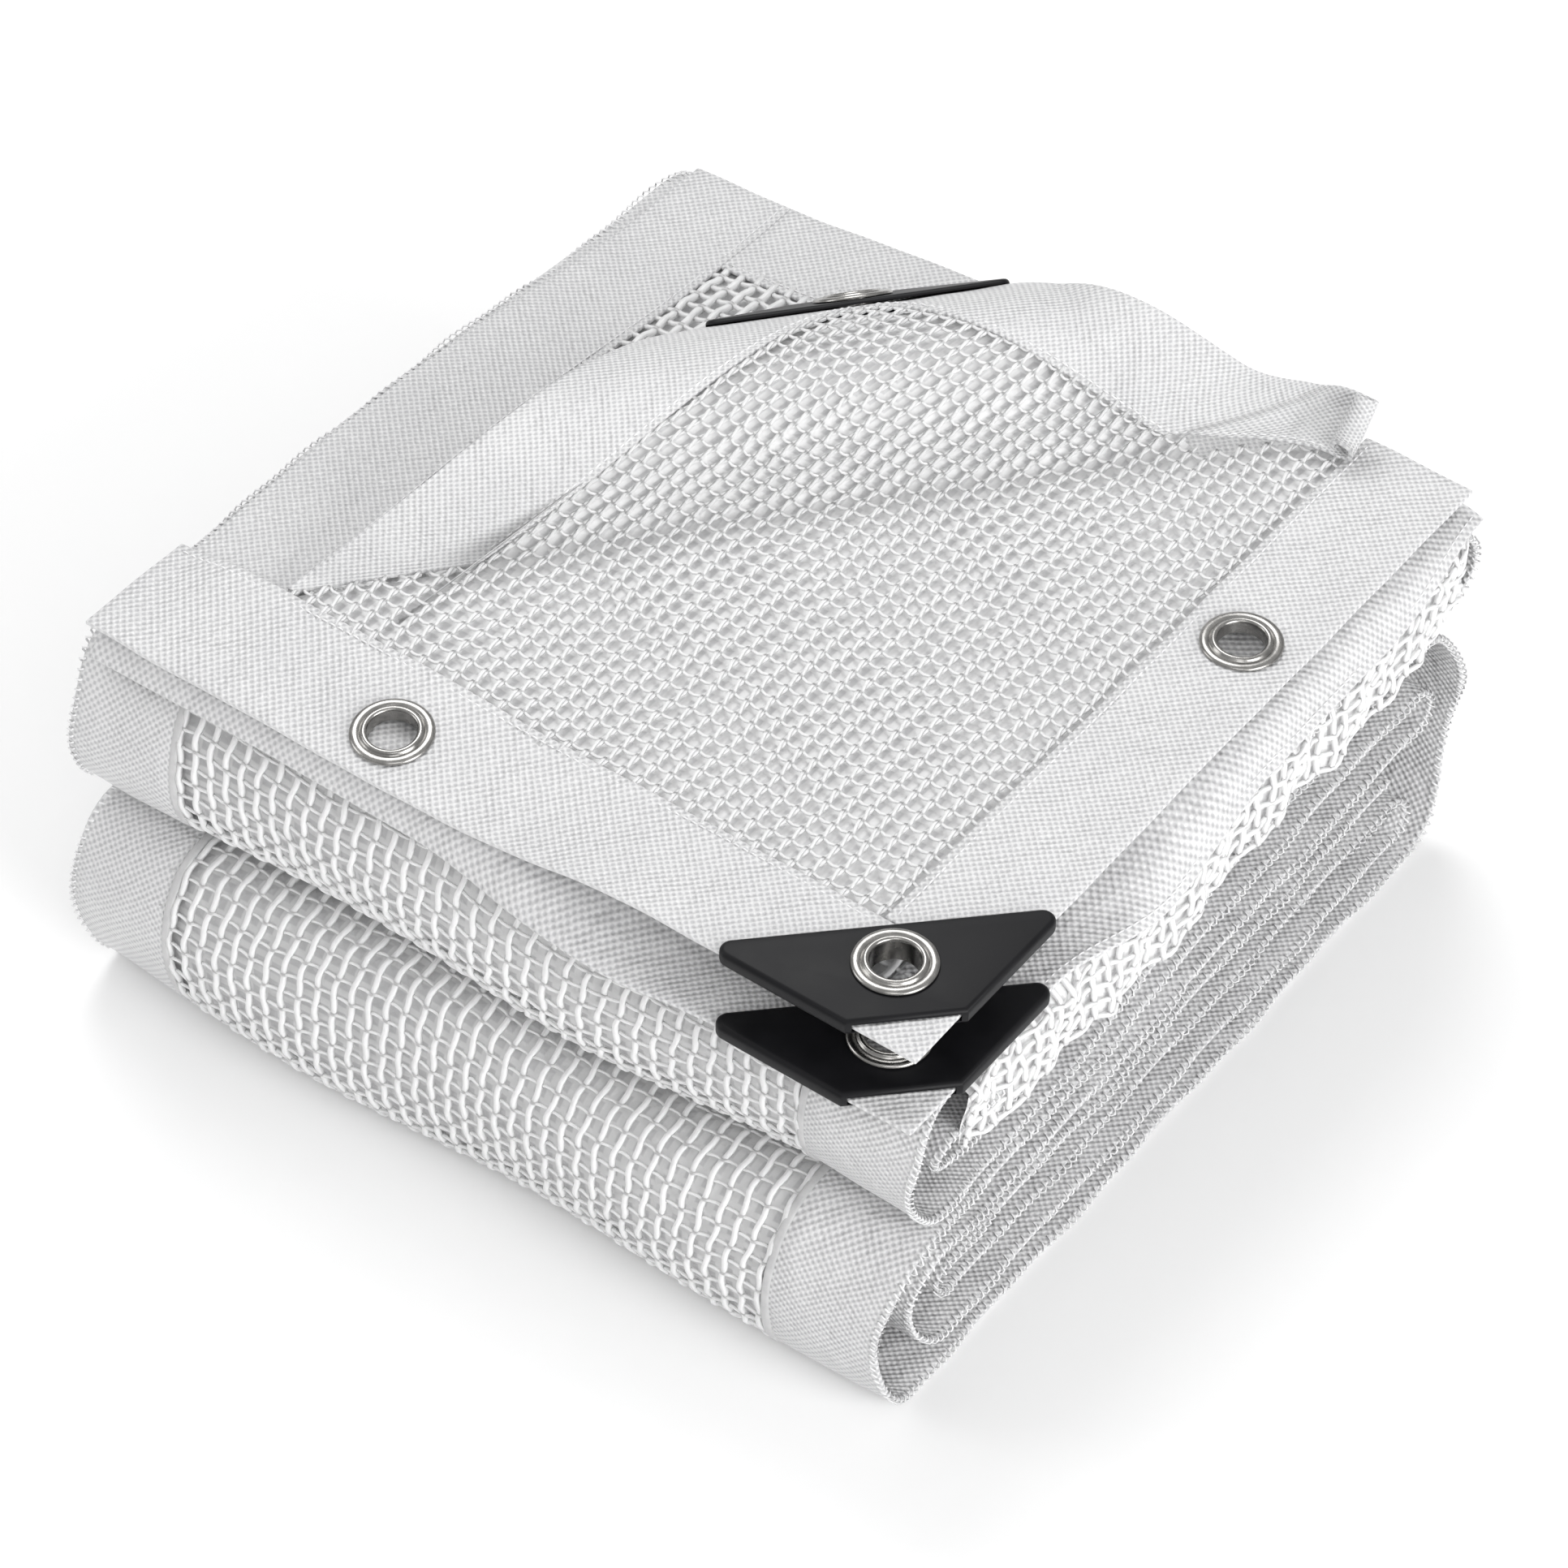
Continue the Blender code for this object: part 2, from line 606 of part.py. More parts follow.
def centre_part():
    """Moves every piece alike, so that the origin is the middle of the part's footprint."""
    bpy.context.view_layer.update()
    graph = bpy.context.evaluated_depsgraph_get()
    points = []
    for piece in bpy.context.scene.objects:
        if not piece.hide_render:
            shown = piece.evaluated_get(graph)
            points += [shown.matrix_world @ vertex.co for vertex in shown.data.vertices]
    low = [min(point[axis] for point in points) for axis in range(3)]
    high = [max(point[axis] for point in points) for axis in range(3)]
    shift = Vector(((low[0] + high[0]) / -2, (low[1] + high[1]) / -2, -low[2]))
    for piece in bpy.context.scene.objects:
        piece.matrix_world = Matrix.Translation(shift) @ piece.matrix_world


def build():
    """Makes every piece of the folded cloth."""
    clear_scene()
    slots = {slot: make_material(slot) for slot in LOOKS}
    eyelet_back = Matrix.Translation((0, -GUARD_EYELET, 0))
    upper_corner = corner_frame(flat_place, (UPPER_RIGHT, UPPER_FRONT), (-1, 1))
    lower_tip = (LOWER_RIGHT, LOWER_FRONT)
    lower_corner = corner_frame(lower_place, lower_tip, (-1, 1))
    flap_corner = corner_frame(upper_place, (FLAP_START[0], UPPER_BACK), (1, -1))
    frames = {
        "front": surface_frame(flat_place, *FRONT_EYELET),
        "right": surface_frame(flat_place, *RIGHT_EYELET),
        "upper_corner": upper_corner @ eyelet_back,
        "lower_corner": lower_corner @ eyelet_back,
        "flap_corner": flap_corner @ eyelet_back,
    }
    cutters = {name: hole_cutter("hole_" + name, frame) for name, frame in frames.items()}
    holes = {
        "front": (cutters["front"], cutters["upper_corner"]),
        "right": (cutters["right"],),
        "flap": (cutters["flap_corner"],),
    }
    add_stack(slots["net"], slots["binding"])
    add_lower_sheet(slots["net"], slots["binding"], (cutters["lower_corner"],))
    add_upper_sheet(slots["net"], slots["binding"], holes)
    add_guard("guard_upper", upper_corner, slots["guard"])
    add_guard("guard_lower", lower_corner, slots["guard"])
    add_guard("guard_flap", flap_corner, slots["guard"])
    for name, frame in frames.items():
        grip = GUARD_THICK if name.endswith("corner") else CLOTH
        add_eyelet("eyelet_" + name, frame, grip, slots["eyelet"])
    centre_part()


build()
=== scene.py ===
"""Looks of the folded shade cloth: net of real yarns, woven bindings, guards, eyelets and studio.

Sizes are in metres. X runs along the front folds, Y to the back and Z up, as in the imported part.
"""

import json
import logging
import math
from collections.abc import Callable, Sequence
from dataclasses import dataclass, field, replace
from enum import Enum

import bmesh
import bpy
import numpy as np
from mathutils import Matrix, Vector

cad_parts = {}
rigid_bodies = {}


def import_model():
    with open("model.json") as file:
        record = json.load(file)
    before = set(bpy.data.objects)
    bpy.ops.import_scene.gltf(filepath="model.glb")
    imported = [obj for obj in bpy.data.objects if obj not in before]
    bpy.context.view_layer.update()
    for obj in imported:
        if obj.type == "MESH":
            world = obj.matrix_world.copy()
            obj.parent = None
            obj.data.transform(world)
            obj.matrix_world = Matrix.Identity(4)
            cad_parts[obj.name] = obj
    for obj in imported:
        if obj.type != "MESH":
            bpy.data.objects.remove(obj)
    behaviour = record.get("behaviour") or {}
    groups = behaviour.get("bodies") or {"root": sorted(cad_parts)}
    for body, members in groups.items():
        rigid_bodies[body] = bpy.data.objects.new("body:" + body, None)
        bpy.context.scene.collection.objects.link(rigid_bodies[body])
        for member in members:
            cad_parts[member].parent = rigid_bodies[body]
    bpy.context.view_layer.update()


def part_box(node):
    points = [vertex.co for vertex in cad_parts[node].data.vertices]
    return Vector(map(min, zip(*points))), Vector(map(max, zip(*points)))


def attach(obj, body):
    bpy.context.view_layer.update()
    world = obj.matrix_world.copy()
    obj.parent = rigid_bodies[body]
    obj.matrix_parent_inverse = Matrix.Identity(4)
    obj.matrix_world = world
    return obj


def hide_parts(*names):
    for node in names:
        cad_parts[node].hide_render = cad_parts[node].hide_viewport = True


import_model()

Array = np.ndarray
Place = Callable[[Array, Array], Array]
Piece = bpy.types.Object
Material = bpy.types.Material
Node = bpy.types.Node
Socket = bpy.types.NodeSocket
Inputs = dict[str | int, object]
Pair = tuple[float, float]
Triple = tuple[float, float, float]
Outline = list[tuple[float, float]]
# scale, detail, height and strength
Relief = tuple[float, float, float, float]
# size, start and turns along each place
Wave = tuple[float, ...]
NET_PITCH = 0.006
# steps of the bands' and layers' meshes
BAND_STEP = 0.004
LONG_STEP = 0.005
FLAP_STEP = 0.0025
FLAT_MAP = "Flat"

log = logging.getLogger("shade_cloth")


class Slot(Enum):
    """Material slots of the record."""

    NET = "net"
    BINDING = "binding"
    GUARD = "guard"
    EYELET = "eyelet"


class Side(Enum):
    """Side of the stack that a fold turns at."""

    FRONT = -1.0
    BACK = 1.0


class Held(Enum):
    """How a sheet of cloth lies."""

    FOLDED = "folded"
    LAID = "laid"
    DRAPED = "draped"


def smooth(value: Array, start: float, end: float) -> Array:
    """Soft step."""
    share = np.clip((np.asarray(value, float) - start) / (end - start), 0.0, 1.0)
    return share * share * (3.0 - 2.0 * share)


def mix(first: Array, second: Array, share: Array) -> Array:
    """Blend of two values."""
    return first * (1.0 - share) + second * share


def joined(x: Array, y: Array, z: Array) -> Array:
    """Points from their three sizes."""
    return np.stack(np.broadcast_arrays(x, y, z), axis=-1).astype(float)


def unit(vectors: Array) -> Array:
    """Vectors of length one."""
    return vectors / np.maximum(np.linalg.norm(vectors, axis=-1, keepdims=True), 1e-12)


def ripples(waves: Sequence[Wave], *places: Array) -> Array:
    """Sum of sine waves.

    Args:
        waves: Size, start and turns along each place of each wave.
        places: The places.

    Returns:
        Heights of the sum.
    """
    total = 0.0
    for size, start, *turns in waves:
        total = total + size * np.sin(start + sum(turn * place for turn, place in zip(turns, places)))
    return total


def lengths_of(line: Array) -> Array:
    """Distance of every point of a line along it."""
    steps = np.linalg.norm(np.diff(line, axis=0), axis=1)
    return np.concatenate([[0.0], np.cumsum(steps)])


@dataclass(frozen=True)
class Turn:
    """One rounded fold between two runs of the stack."""

    side: Side
    leaves: int
    enters: int
    reach: float
    depth: float
    square: float


@dataclass(frozen=True)
class Station:
    """Shape of the lifted corner at one place along its crease."""

    along: float
    straight: float
    radius: float


@dataclass(frozen=True)
class Shape:
    """Where every sheet of the folded cloth lies, before the part is centred."""

    cloth: float = 0.002
    gap: float = 0.0003
    seat_gap: float = 0.0014
    band: float = 0.038
    left: float = -0.150
    right: float = 0.150
    stack_top: float = 0.143
    run_front: float = -0.115
    run_back: float = 0.125
    free_end_low: float = 0.122
    free_end_high: float = 0.136
    runs: tuple[Pair, ...] = (
        (0.001, 0.001),
        (0.014, 0.016),
        (0.028, 0.030),
        (0.042, 0.044),
        (0.056, 0.061),
        (0.069, 0.076),
        (0.075, 0.093),
        (0.095, 0.102),
        (0.113, 0.118),
        (0.134, 0.133),
    )
    turns: tuple[Turn, ...] = (
        Turn(Side.FRONT, 4, 3, -0.126, 0.009, 1.0),
        Turn(Side.BACK, 3, 2, 0.134, 0.009, 1.0),
        Turn(Side.FRONT, 2, 5, -0.140, 0.020, 0.8),
        Turn(Side.BACK, 5, 6, 0.138, 0.009, 1.0),
        Turn(Side.FRONT, 6, 1, -0.157, 0.028, 0.6),
        Turn(Side.BACK, 1, 7, 0.158, 0.028, 0.7),
        Turn(Side.FRONT, 7, 10, -0.150, 0.022, 0.75),
        Turn(Side.BACK, 10, 8, 0.157, 0.020, 0.8),
        Turn(Side.FRONT, 8, 9, -0.137, 0.010, 1.0),
    )
    parted_runs: tuple[int, ...] = (5, 7)
    ripple: float = 0.0011
    ripple_length: Pair = (0.21, 0.26)
    upper_ripple: float = 0.00066
    upper_ripple_length: Pair = (0.16, 0.22)
    fold_wave: float = 0.0018
    fold_zone: Pair = (0.09, 0.14)
    edge_stagger: float = 0.0016
    edge_zone: Pair = (0.10, 0.15)
    front_corner_drop: float = 0.0175
    front_set_back: Pair = (0.005, 0.012)
    set_back_heights: Pair = (0.060, 0.085)
    back_corner_drop: float = 0.008
    back_zone: Pair = (-0.02, 0.125)
    corner_far: float = 0.120
    corner_near: float = 0.064
    lower_left: float = -0.143
    sheet_front: float = -0.1405
    sheet_back: float = 0.149
    lower_rise: float = 0.0085
    lower_corner_out: Pair = (0.0035, -0.006)
    apron: float = 0.010
    side_apron: float = 0.013
    apron_bend: float = 0.012
    apron_turn: float = 1.3
    apron_ends: Pair = (-0.010, 0.090)
    side_apron_starts: Pair = (-0.070, -0.010)
    side_apron_ends: Pair = (0.090, 0.149)
    side_apron_raised: float = 0.6
    strip_start: float = 0.0036
    strip_out: float = 0.0034
    strip_in: float = 0.002
    strip_bend: float = 0.006
    strip_waves: tuple[Wave, ...] = (
        (0.0014, 0.0, 2 * math.pi / 0.041, 90.0),
        (0.0007, 0.0, 2 * math.pi / 0.015, -140.0),
    )
    strip_sag: tuple[Wave, ...] = ((0.0016, 0.0, 2 * math.pi / 0.029, 60.0),)
    upper: float = 0.149
    upper_left: float = -0.145
    end_across: Pair = (0.122, 0.140)
    end_front: Pair = (0.08, 0.10)
    front_bow: float = 0.005
    bow_zone: Pair = (-0.078, 0.045)
    upper_front_slope: float = 0.004
    crease_start: Pair = (-0.105, -0.104)
    crease_end: Pair = (0.106, 0.149)
    level_from: float = 0.050
    rise_deg: float = 72.0
    fall_deg: float = -39.0
    valley_bend: float = 0.0065
    shorten: float = 0.71
    shorten_until: float = 0.110
    corner_bend_from: float = 0.1520
    corner_bend_radius: float = 0.010
    stations: tuple[Station, ...] = (
        Station(0.000, 0.001, 0.0377),
        Station(0.140, 0.0114, 0.0300),
        Station(0.250, 0.0114, 0.0300),
        Station(0.330, 0.0276, 0.0460),
    )
    tip: float = 0.112
    tip_radius: float = 0.0034
    tip_zone: Pair = (0.055, 0.108)
    tip_lift: float = 0.014
    tip_narrows: float = 0.6
    lap_lift: float = 0.0027
    lap_zone: Pair = (-0.012, -0.002)
    profile_steps: int = 60

    @property
    def seat(self) -> float:
        """Height of one sheet over the one that it lies on."""
        return self.cloth + self.seat_gap

    @property
    def inner_front(self) -> float:
        """Where the front bindings end and the net starts."""
        return self.sheet_front + self.band

    @property
    def inner_left(self) -> float:
        """Inner edge of the binding on the lifted corner's left side."""
        return self.crease_start[0] + self.band

    @property
    def inner_right(self) -> float:
        """Inner edge of the right bindings."""
        return self.right - self.band

    @property
    def inner_back(self) -> float:
        """Inner edge of the back bindings."""
        return self.sheet_back - self.band

    def front_corner(self, x: Array, y: Array) -> Array:
        """Weight of the sunken front right corner."""
        away = ((self.right - x) + (y - self.sheet_front)) / math.sqrt(2.0)
        return smooth(away, self.corner_far, self.corner_near)

    def back_corner(self, x: Array, y: Array) -> Array:
        """Weight of the sunken back left corner."""
        near, far = self.back_zone
        return smooth(-x, near, far) * smooth(y, near, far)

    def settle(self, x: Array, y: Array, z: Array) -> Array:
        """Moves points of the neat stack to where the loose cloth has them.

        Args:
            x: Sizes along X.
            y: Sizes along Y.
            z: Sizes along Z.

        Returns:
            The moved points.
        """
        height = np.clip((z - self.cloth / 2) / self.stack_top, 0.0, 1.0)
        front = self.front_corner(x, y)
        long_x, long_y = self.ripple_length
        wave = np.sin(2 * math.pi * x / long_x + 0.8) * np.cos(2 * math.pi * y / long_y)
        z_new = z - self.front_corner_drop * height**1.5 * front
        z_new = z_new - self.back_corner_drop * height * self.back_corner(x, y)
        z_new = z_new + self.ripple * height * wave * (1.0 - front)
        at_fold = smooth(np.abs(y), *self.fold_zone)
        y_new = y + self.fold_wave * at_fold * np.sin(2 * math.pi * x / 0.17 + 40.0 * z + 0.5)
        back = mix(*self.front_set_back, smooth(z, *self.set_back_heights))
        low, high = self.edge_zone
        y_new = y_new + back * smooth(-y, *self.fold_zone) * smooth(x, -low, high)
        x_new = x + self.edge_stagger * smooth(np.abs(x), *self.edge_zone) * np.sin(115.0 * z + 0.6)
        return joined(x_new, y_new, z_new)

    def run_height(self, run: int, y: Array) -> Array:
        """Height of one run of the stack.

        Args:
            run: Number of the run, from the floor up.
            y: Depths.

        Returns:
            Heights before settling.
        """
        front, back = self.runs[run - 1]
        share = np.clip((y - self.run_front) / (self.run_back - self.run_front), 0.0, 1.0)
        return mix(front, back, share)

    def lower_height(self, x: Array, y: Array) -> Array:
        """Height of the lower bound sheet."""
        top = self.settle(x, y, self.run_height(10, y))[..., 2]
        return top + mix(self.lower_rise, self.seat, self.back_corner(x, y))

    def lower(self, x: Array, y: Array) -> Array:
        """Points of the lower bound sheet, whose front right corner has slid out.

        Args:
            x: Sizes along X.
            y: Sizes along Y.

        Returns:
            Points.
        """
        slid = self.front_corner(x, y)
        out_x, out_y = self.lower_corner_out
        return joined(x + out_x * slid, y + out_y * slid, self.lower_height(x, y))

    def hang(self, width: Array, extra: float, flat: Array) -> tuple[Array, Array]:
        """How far a hanging binding reaches out and drops.

        Args:
            width: Distance over the binding from its seam.
            extra: Length that hangs past the flat binding's edge.
            flat: 1 where the binding lies flat and 0 where it hangs.

        Returns:
            Reach and drop.
        """
        along = width * (self.band + extra * (1.0 - flat)) / self.band
        level = np.minimum(along, self.band - self.apron_bend / 2)
        past = along - level
        turned = np.maximum((1.0 - flat) * np.minimum(past / self.apron_bend, self.apron_turn), 1e-5)
        return level + past * np.sin(turned) / turned, past * (1.0 - np.cos(turned)) / turned

    def front_apron(self, x: Array, width: Array) -> Array:
        """Points of the lower sheet's front binding, which hangs over the folds but for its corner.

        Args:
            x: Sizes along X.
            width: Distances over the binding from its seam.

        Returns:
            Points.
        """
        out, drop = self.hang(width, self.apron, smooth(x, *self.apron_ends))
        points = self.lower(x, self.inner_front - np.minimum(out, self.band))
        return points - joined(0.0, np.maximum(out - self.band, 0.0), drop)

    def right_apron(self, width: Array, y: Array) -> Array:
        """Points of the lower sheet's right binding, which hangs over the stack's end.

        Args:
            width: Distances over the binding from its seam.
            y: Sizes along Y.

        Returns:
            Points.
        """
        raised = self.side_apron_raised * smooth(y, *self.side_apron_ends)
        hanging = smooth(y, *self.side_apron_starts) * (1.0 - raised)
        out, drop = self.hang(width, self.side_apron, 1.0 - hanging)
        points = self.lower(self.inner_right + np.minimum(out, self.band), y)
        return points + joined(np.maximum(out - self.band, 0.0), 0.0, -drop)

    def tip_roll(self, along: Array, v: Array) -> Array:
        """Points of the rolled end of the lifted corner's back binding.

        Args:
            along: Distances along the roll from the binding's end.
            v: Flat places along Y.

        Returns:
            Points.
        """
        last = np.full_like(v, self.tip)
        base = self.lap(last, v)
        ahead = unit(base - self.lap(last - 0.002, v))
        up = surface_normal(self.lap, last, v)
        up = up * np.sign(up[..., 2:])
        turn = (along / self.tip_radius)[..., None]
        return base + self.tip_radius * (np.sin(turn) * ahead + (1.0 - np.cos(turn)) * up)

    def side_strip(self, down: Array, y: Array) -> Array:
        """Points of the loose net that shows under the lower sheet's right binding.

        Args:
            down: Distances down the strip.
            y: Sizes along Y.

        Returns:
            Points.
        """
        top = self.right_apron(np.full_like(y, self.band), y)
        out = self.right + self.strip_out + ripples(self.strip_waves, y, down)
        share = smooth(down, 0.0, self.strip_bend)
        height = top[..., 2] - self.strip_start - down + share * ripples(self.strip_sag, y, down)
        return joined(mix(self.right - self.strip_in, out, share), y, height)

    def upper_height(self, x: Array, y: Array) -> Array:
        """Height of the upper bound sheet where it lies flat.

        Args:
            x: Sizes along X.
            y: Sizes along Y.

        Returns:
            Heights.
        """
        corner = self.front_corner(x, y)
        share = np.clip((self.inner_front - y) / self.band, 0.0, 1.0)
        long_x, long_y = self.upper_ripple_length
        wave = np.sin(2 * math.pi * x / long_x + 1.1) * np.cos(2 * math.pi * y / long_y)
        level = self.upper - self.upper_front_slope * share * (1.0 - corner)
        level = level + self.upper_ripple * wave * (1.0 - corner)
        end = smooth(-x, *self.end_across) * smooth(-y, *self.end_front)
        return mix(level, self.lower_height(x, y) + self.seat, end)

    def flat(self, x: Array, y: Array) -> Array:
        """Points of the upper sheet where it lies flat.

        Args:
            x: Sizes along X.
            y: Sizes along Y.

        Returns:
            Points.
        """
        share = np.maximum((self.inner_front - y) / self.band, 0.0)
        bow = self.front_bow * smooth(-x, *self.bow_zone)
        return joined(x, y - bow * share, self.upper_height(x, y))

    def crease(self) -> tuple[Array, Array, Array]:
        """The crease that the lifted corner rises from.

        Returns:
            Its start, direction and outward normal.
        """
        start = np.array(self.crease_start)
        along = np.array(self.crease_end) - start
        along = along / np.linalg.norm(along)
        return start, along, np.array([-along[1], along[0]])

    def crease_u(self, v: Array) -> Array:
        """Place of the crease along X."""
        (x0, y0), (x1, y1) = self.crease_start, self.crease_end
        return x0 + (v - y0) * (x1 - x0) / (y1 - y0)

    def crease_v(self, u: Array) -> Array:
        """Place of the crease along Y."""
        (x0, y0), (x1, y1) = self.crease_start, self.crease_end
        return y0 + (u - x0) * (y1 - y0) / (x1 - x0)

    def flap_profile(self, station: Array, distance: Array) -> tuple[Array, Array]:
        """How far out and how high the lifted cloth lies.

        Args:
            station: Places along the crease.
            distance: Distances up the sheet from the crease.

        Returns:
            Reach and rise.
        """
        known = [item.along for item in self.stations]
        straight = np.interp(station, known, [item.straight for item in self.stations])[..., None]
        radius = np.interp(station, known, [item.radius for item in self.stations])[..., None]
        rise, fall = math.radians(self.rise_deg), math.radians(self.fall_deg)
        near = np.minimum(distance, self.shorten_until)
        length = self.shorten * near + np.maximum(distance - self.shorten_until, 0.0)
        arc = length[..., None] * (np.arange(self.profile_steps) + 0.5) / self.profile_steps
        angle = np.clip(rise * arc / self.valley_bend, 0.0, rise)
        over = arc - self.valley_bend - straight
        angle = np.where(over > 0, np.maximum(rise - over / radius, fall), angle)
        tip = arc - self.shorten * self.shorten_until - (self.corner_bend_from - self.shorten_until)
        angle = np.where(tip > 0, np.minimum(fall + tip / self.corner_bend_radius, 0.0), angle)
        return np.cos(angle).mean(-1) * length, np.sin(angle).mean(-1) * length

    def sheet(self, u: Array, v: Array) -> Array:
        """Points of the upper sheet, flat in front of its crease and lifted behind it.

        Args:
            u: Places along X when the sheet lies flat.
            v: Places along Y when the sheet lies flat.

        Returns:
            Points.
        """
        u, v = np.broadcast_arrays(np.asarray(u, float), np.asarray(v, float))
        start, along, out = self.crease()
        offset = np.stack([u, v], axis=-1) - start
        station, distance = offset @ along, offset @ out
        up = np.maximum(distance, 0.0)
        reach, rise = self.flap_profile(station, up)
        foot = start + station[..., None] * along
        place = foot + reach[..., None] * out
        foot_height = self.upper_height(foot[..., 0], foot[..., 1])
        base = mix(foot_height, self.upper, smooth(up, 0.0, self.level_from))
        lifted = joined(place[..., 0], place[..., 1], base + rise)
        return np.where((distance > 0)[..., None], lifted, self.flat(u, v))

    def lap(self, u: Array, v: Array) -> Array:
        """Points of the back binding, whose free right end laps over the net, narrows and rolls up.

        Args:
            u: Places along X when the sheet lies flat.
            v: Places along Y when the sheet lies flat.

        Returns:
            Points.
        """
        share = (v - self.inner_back) / self.band
        tip = smooth(u, *self.tip_zone)
        points = self.sheet(u, v + (self.sheet_back - v) * self.tip_narrows * tip)
        start, _, out = self.crease()
        distance = (np.stack(np.broadcast_arrays(u, v), axis=-1) - start) @ out
        over = self.lap_lift * smooth(-distance, *self.lap_zone)
        return points + joined(0.0, 0.0, over + self.tip_lift * tip * np.maximum(share, 0.0) ** 1.5)


@dataclass(frozen=True)
class FoldPath:
    """One span of the stack's back-and-forth section."""

    y: Array
    z: Array
    fold: Array

    @property
    def lengths(self) -> Array:
        """Distance of every point along the path."""
        return lengths_of(np.stack([self.y, self.z], axis=-1))

    @property
    def length(self) -> float:
        """Length of the span."""
        return float(self.lengths[-1])

    def at(self, along: Array) -> tuple[Array, Array]:
        """Place on the path."""
        lengths = self.lengths
        return np.interp(along, lengths, self.y), np.interp(along, lengths, self.z)

    def folded(self, along: Array) -> Array:
        """Whether places lie in or beside a fold."""
        return np.interp(along, self.lengths, self.fold.astype(float)) > 0.0


def fold_paths(shape: Shape, turn_steps: int = 28, run_steps: int = 16) -> list[FoldPath]:
    """The stack's section as its three spans.

    Args:
        shape: Sizes of the folded cloth.
        turn_steps: Steps round each fold.
        run_steps: Steps along each run, an even number.

    Returns:
        The spans, from the lowest free end to the highest.
    """
    points: list[tuple[float, float, bool]] = []
    cuts: list[int] = []
    place = shape.free_end_low
    for turn in shape.turns:
        side = turn.side.value
        start = turn.reach - side * turn.depth
        for step in range(run_steps + 1):
            y = mix(place, start, step / run_steps)
            points.append((y, float(shape.run_height(turn.leaves, y)), False))
            if turn.leaves in shape.parted_runs and step == run_steps // 2:
                cuts.append(len(points) - 1)
        low, high = shape.run_height(turn.leaves, start), shape.run_height(turn.enters, start)
        for step in range(1, turn_steps):
            angle = math.pi * step / turn_steps
            y = start + side * turn.depth * math.sin(angle) ** turn.square
            points.append((y, float((low + high) / 2 - (high - low) / 2 * math.cos(angle)), True))
        place = start
    for step in range(run_steps + 1):
        y = mix(place, shape.free_end_high, step / run_steps)
        points.append((y, float(shape.run_height(shape.turns[-1].enters, y)), False))
    ends = [0, *cuts, len(points) - 1]
    spans = []
    for first, last in zip(ends, ends[1:]):
        part = points[first : last + 1]
        y, z, fold = (np.array([point[axis] for point in part]) for axis in range(3))
        spans.append(FoldPath(y, z, fold.astype(bool)))
    return spans

def surface_normal(place: Place, first: Array, second: Array, step: float = 0.0008) -> Array:
    """Upward normals of a sheet.

    Args:
        place: The sheet's surface.
        first: First places.
        second: Second places.
        step: Distance of the two samples each way.

    Returns:
        Unit normals.
    """
    across = place(first + step, second) - place(first - step, second)
    along = place(first, second + step) - place(first, second - step)
    return unit(np.cross(across, along))


def crossings(low: float, high: float, pitch: float = NET_PITCH) -> Array:
    """Even places of the yarns between two edges, half a step in from each."""
    count = max(int(round((high - low) / pitch)), 1)
    return low + (np.arange(count) + 0.5) * (high - low) / count


def steps_between(low: float, high: float, step: float) -> Array:
    """Even places from one end to the other, both ends among them."""
    return np.linspace(low, high, max(int(math.ceil((high - low) / step)), 1) + 1)


def grid_of(firsts: Array, seconds: Array) -> tuple[Array, Array]:
    """First and second places of a grid, one row to each second place."""
    second, first = np.meshgrid(seconds, firsts, indexing="ij")
    return first, second


def tube(centre: Array, normal: Array, radii: Array | float, sides: int, turn: float = 0.0) -> Array:
    """Rings of points round a line.

    Args:
        centre: Points of the line.
        normal: Upward normals at them.
        radii: Half the thickness, one or many.
        sides: Points of a ring.
        turn: Share of a side that the rings are turned by.

    Returns:
        Points, rings by sides.
    """
    ahead = unit(np.gradient(centre, axis=0))
    across = unit(np.cross(normal, ahead))
    angles = 2 * math.pi * (np.arange(sides) + turn) / sides
    ring = np.cos(angles)[None, :, None] * across[:, None, :]
    ring = ring + np.sin(angles)[None, :, None] * np.cross(ahead, across)[:, None, :]
    return centre[:, None, :] + np.reshape(radii, (-1, 1, 1)) * ring


def linked(name: str, data: bpy.types.ID) -> Piece:
    """Puts a mesh, light or camera in the scene.

    Args:
        name: Name of the object.
        data: What it shows.

    Returns:
        The object.
    """
    item = bpy.data.objects.new(name, data)
    bpy.context.scene.collection.objects.link(item)
    return item


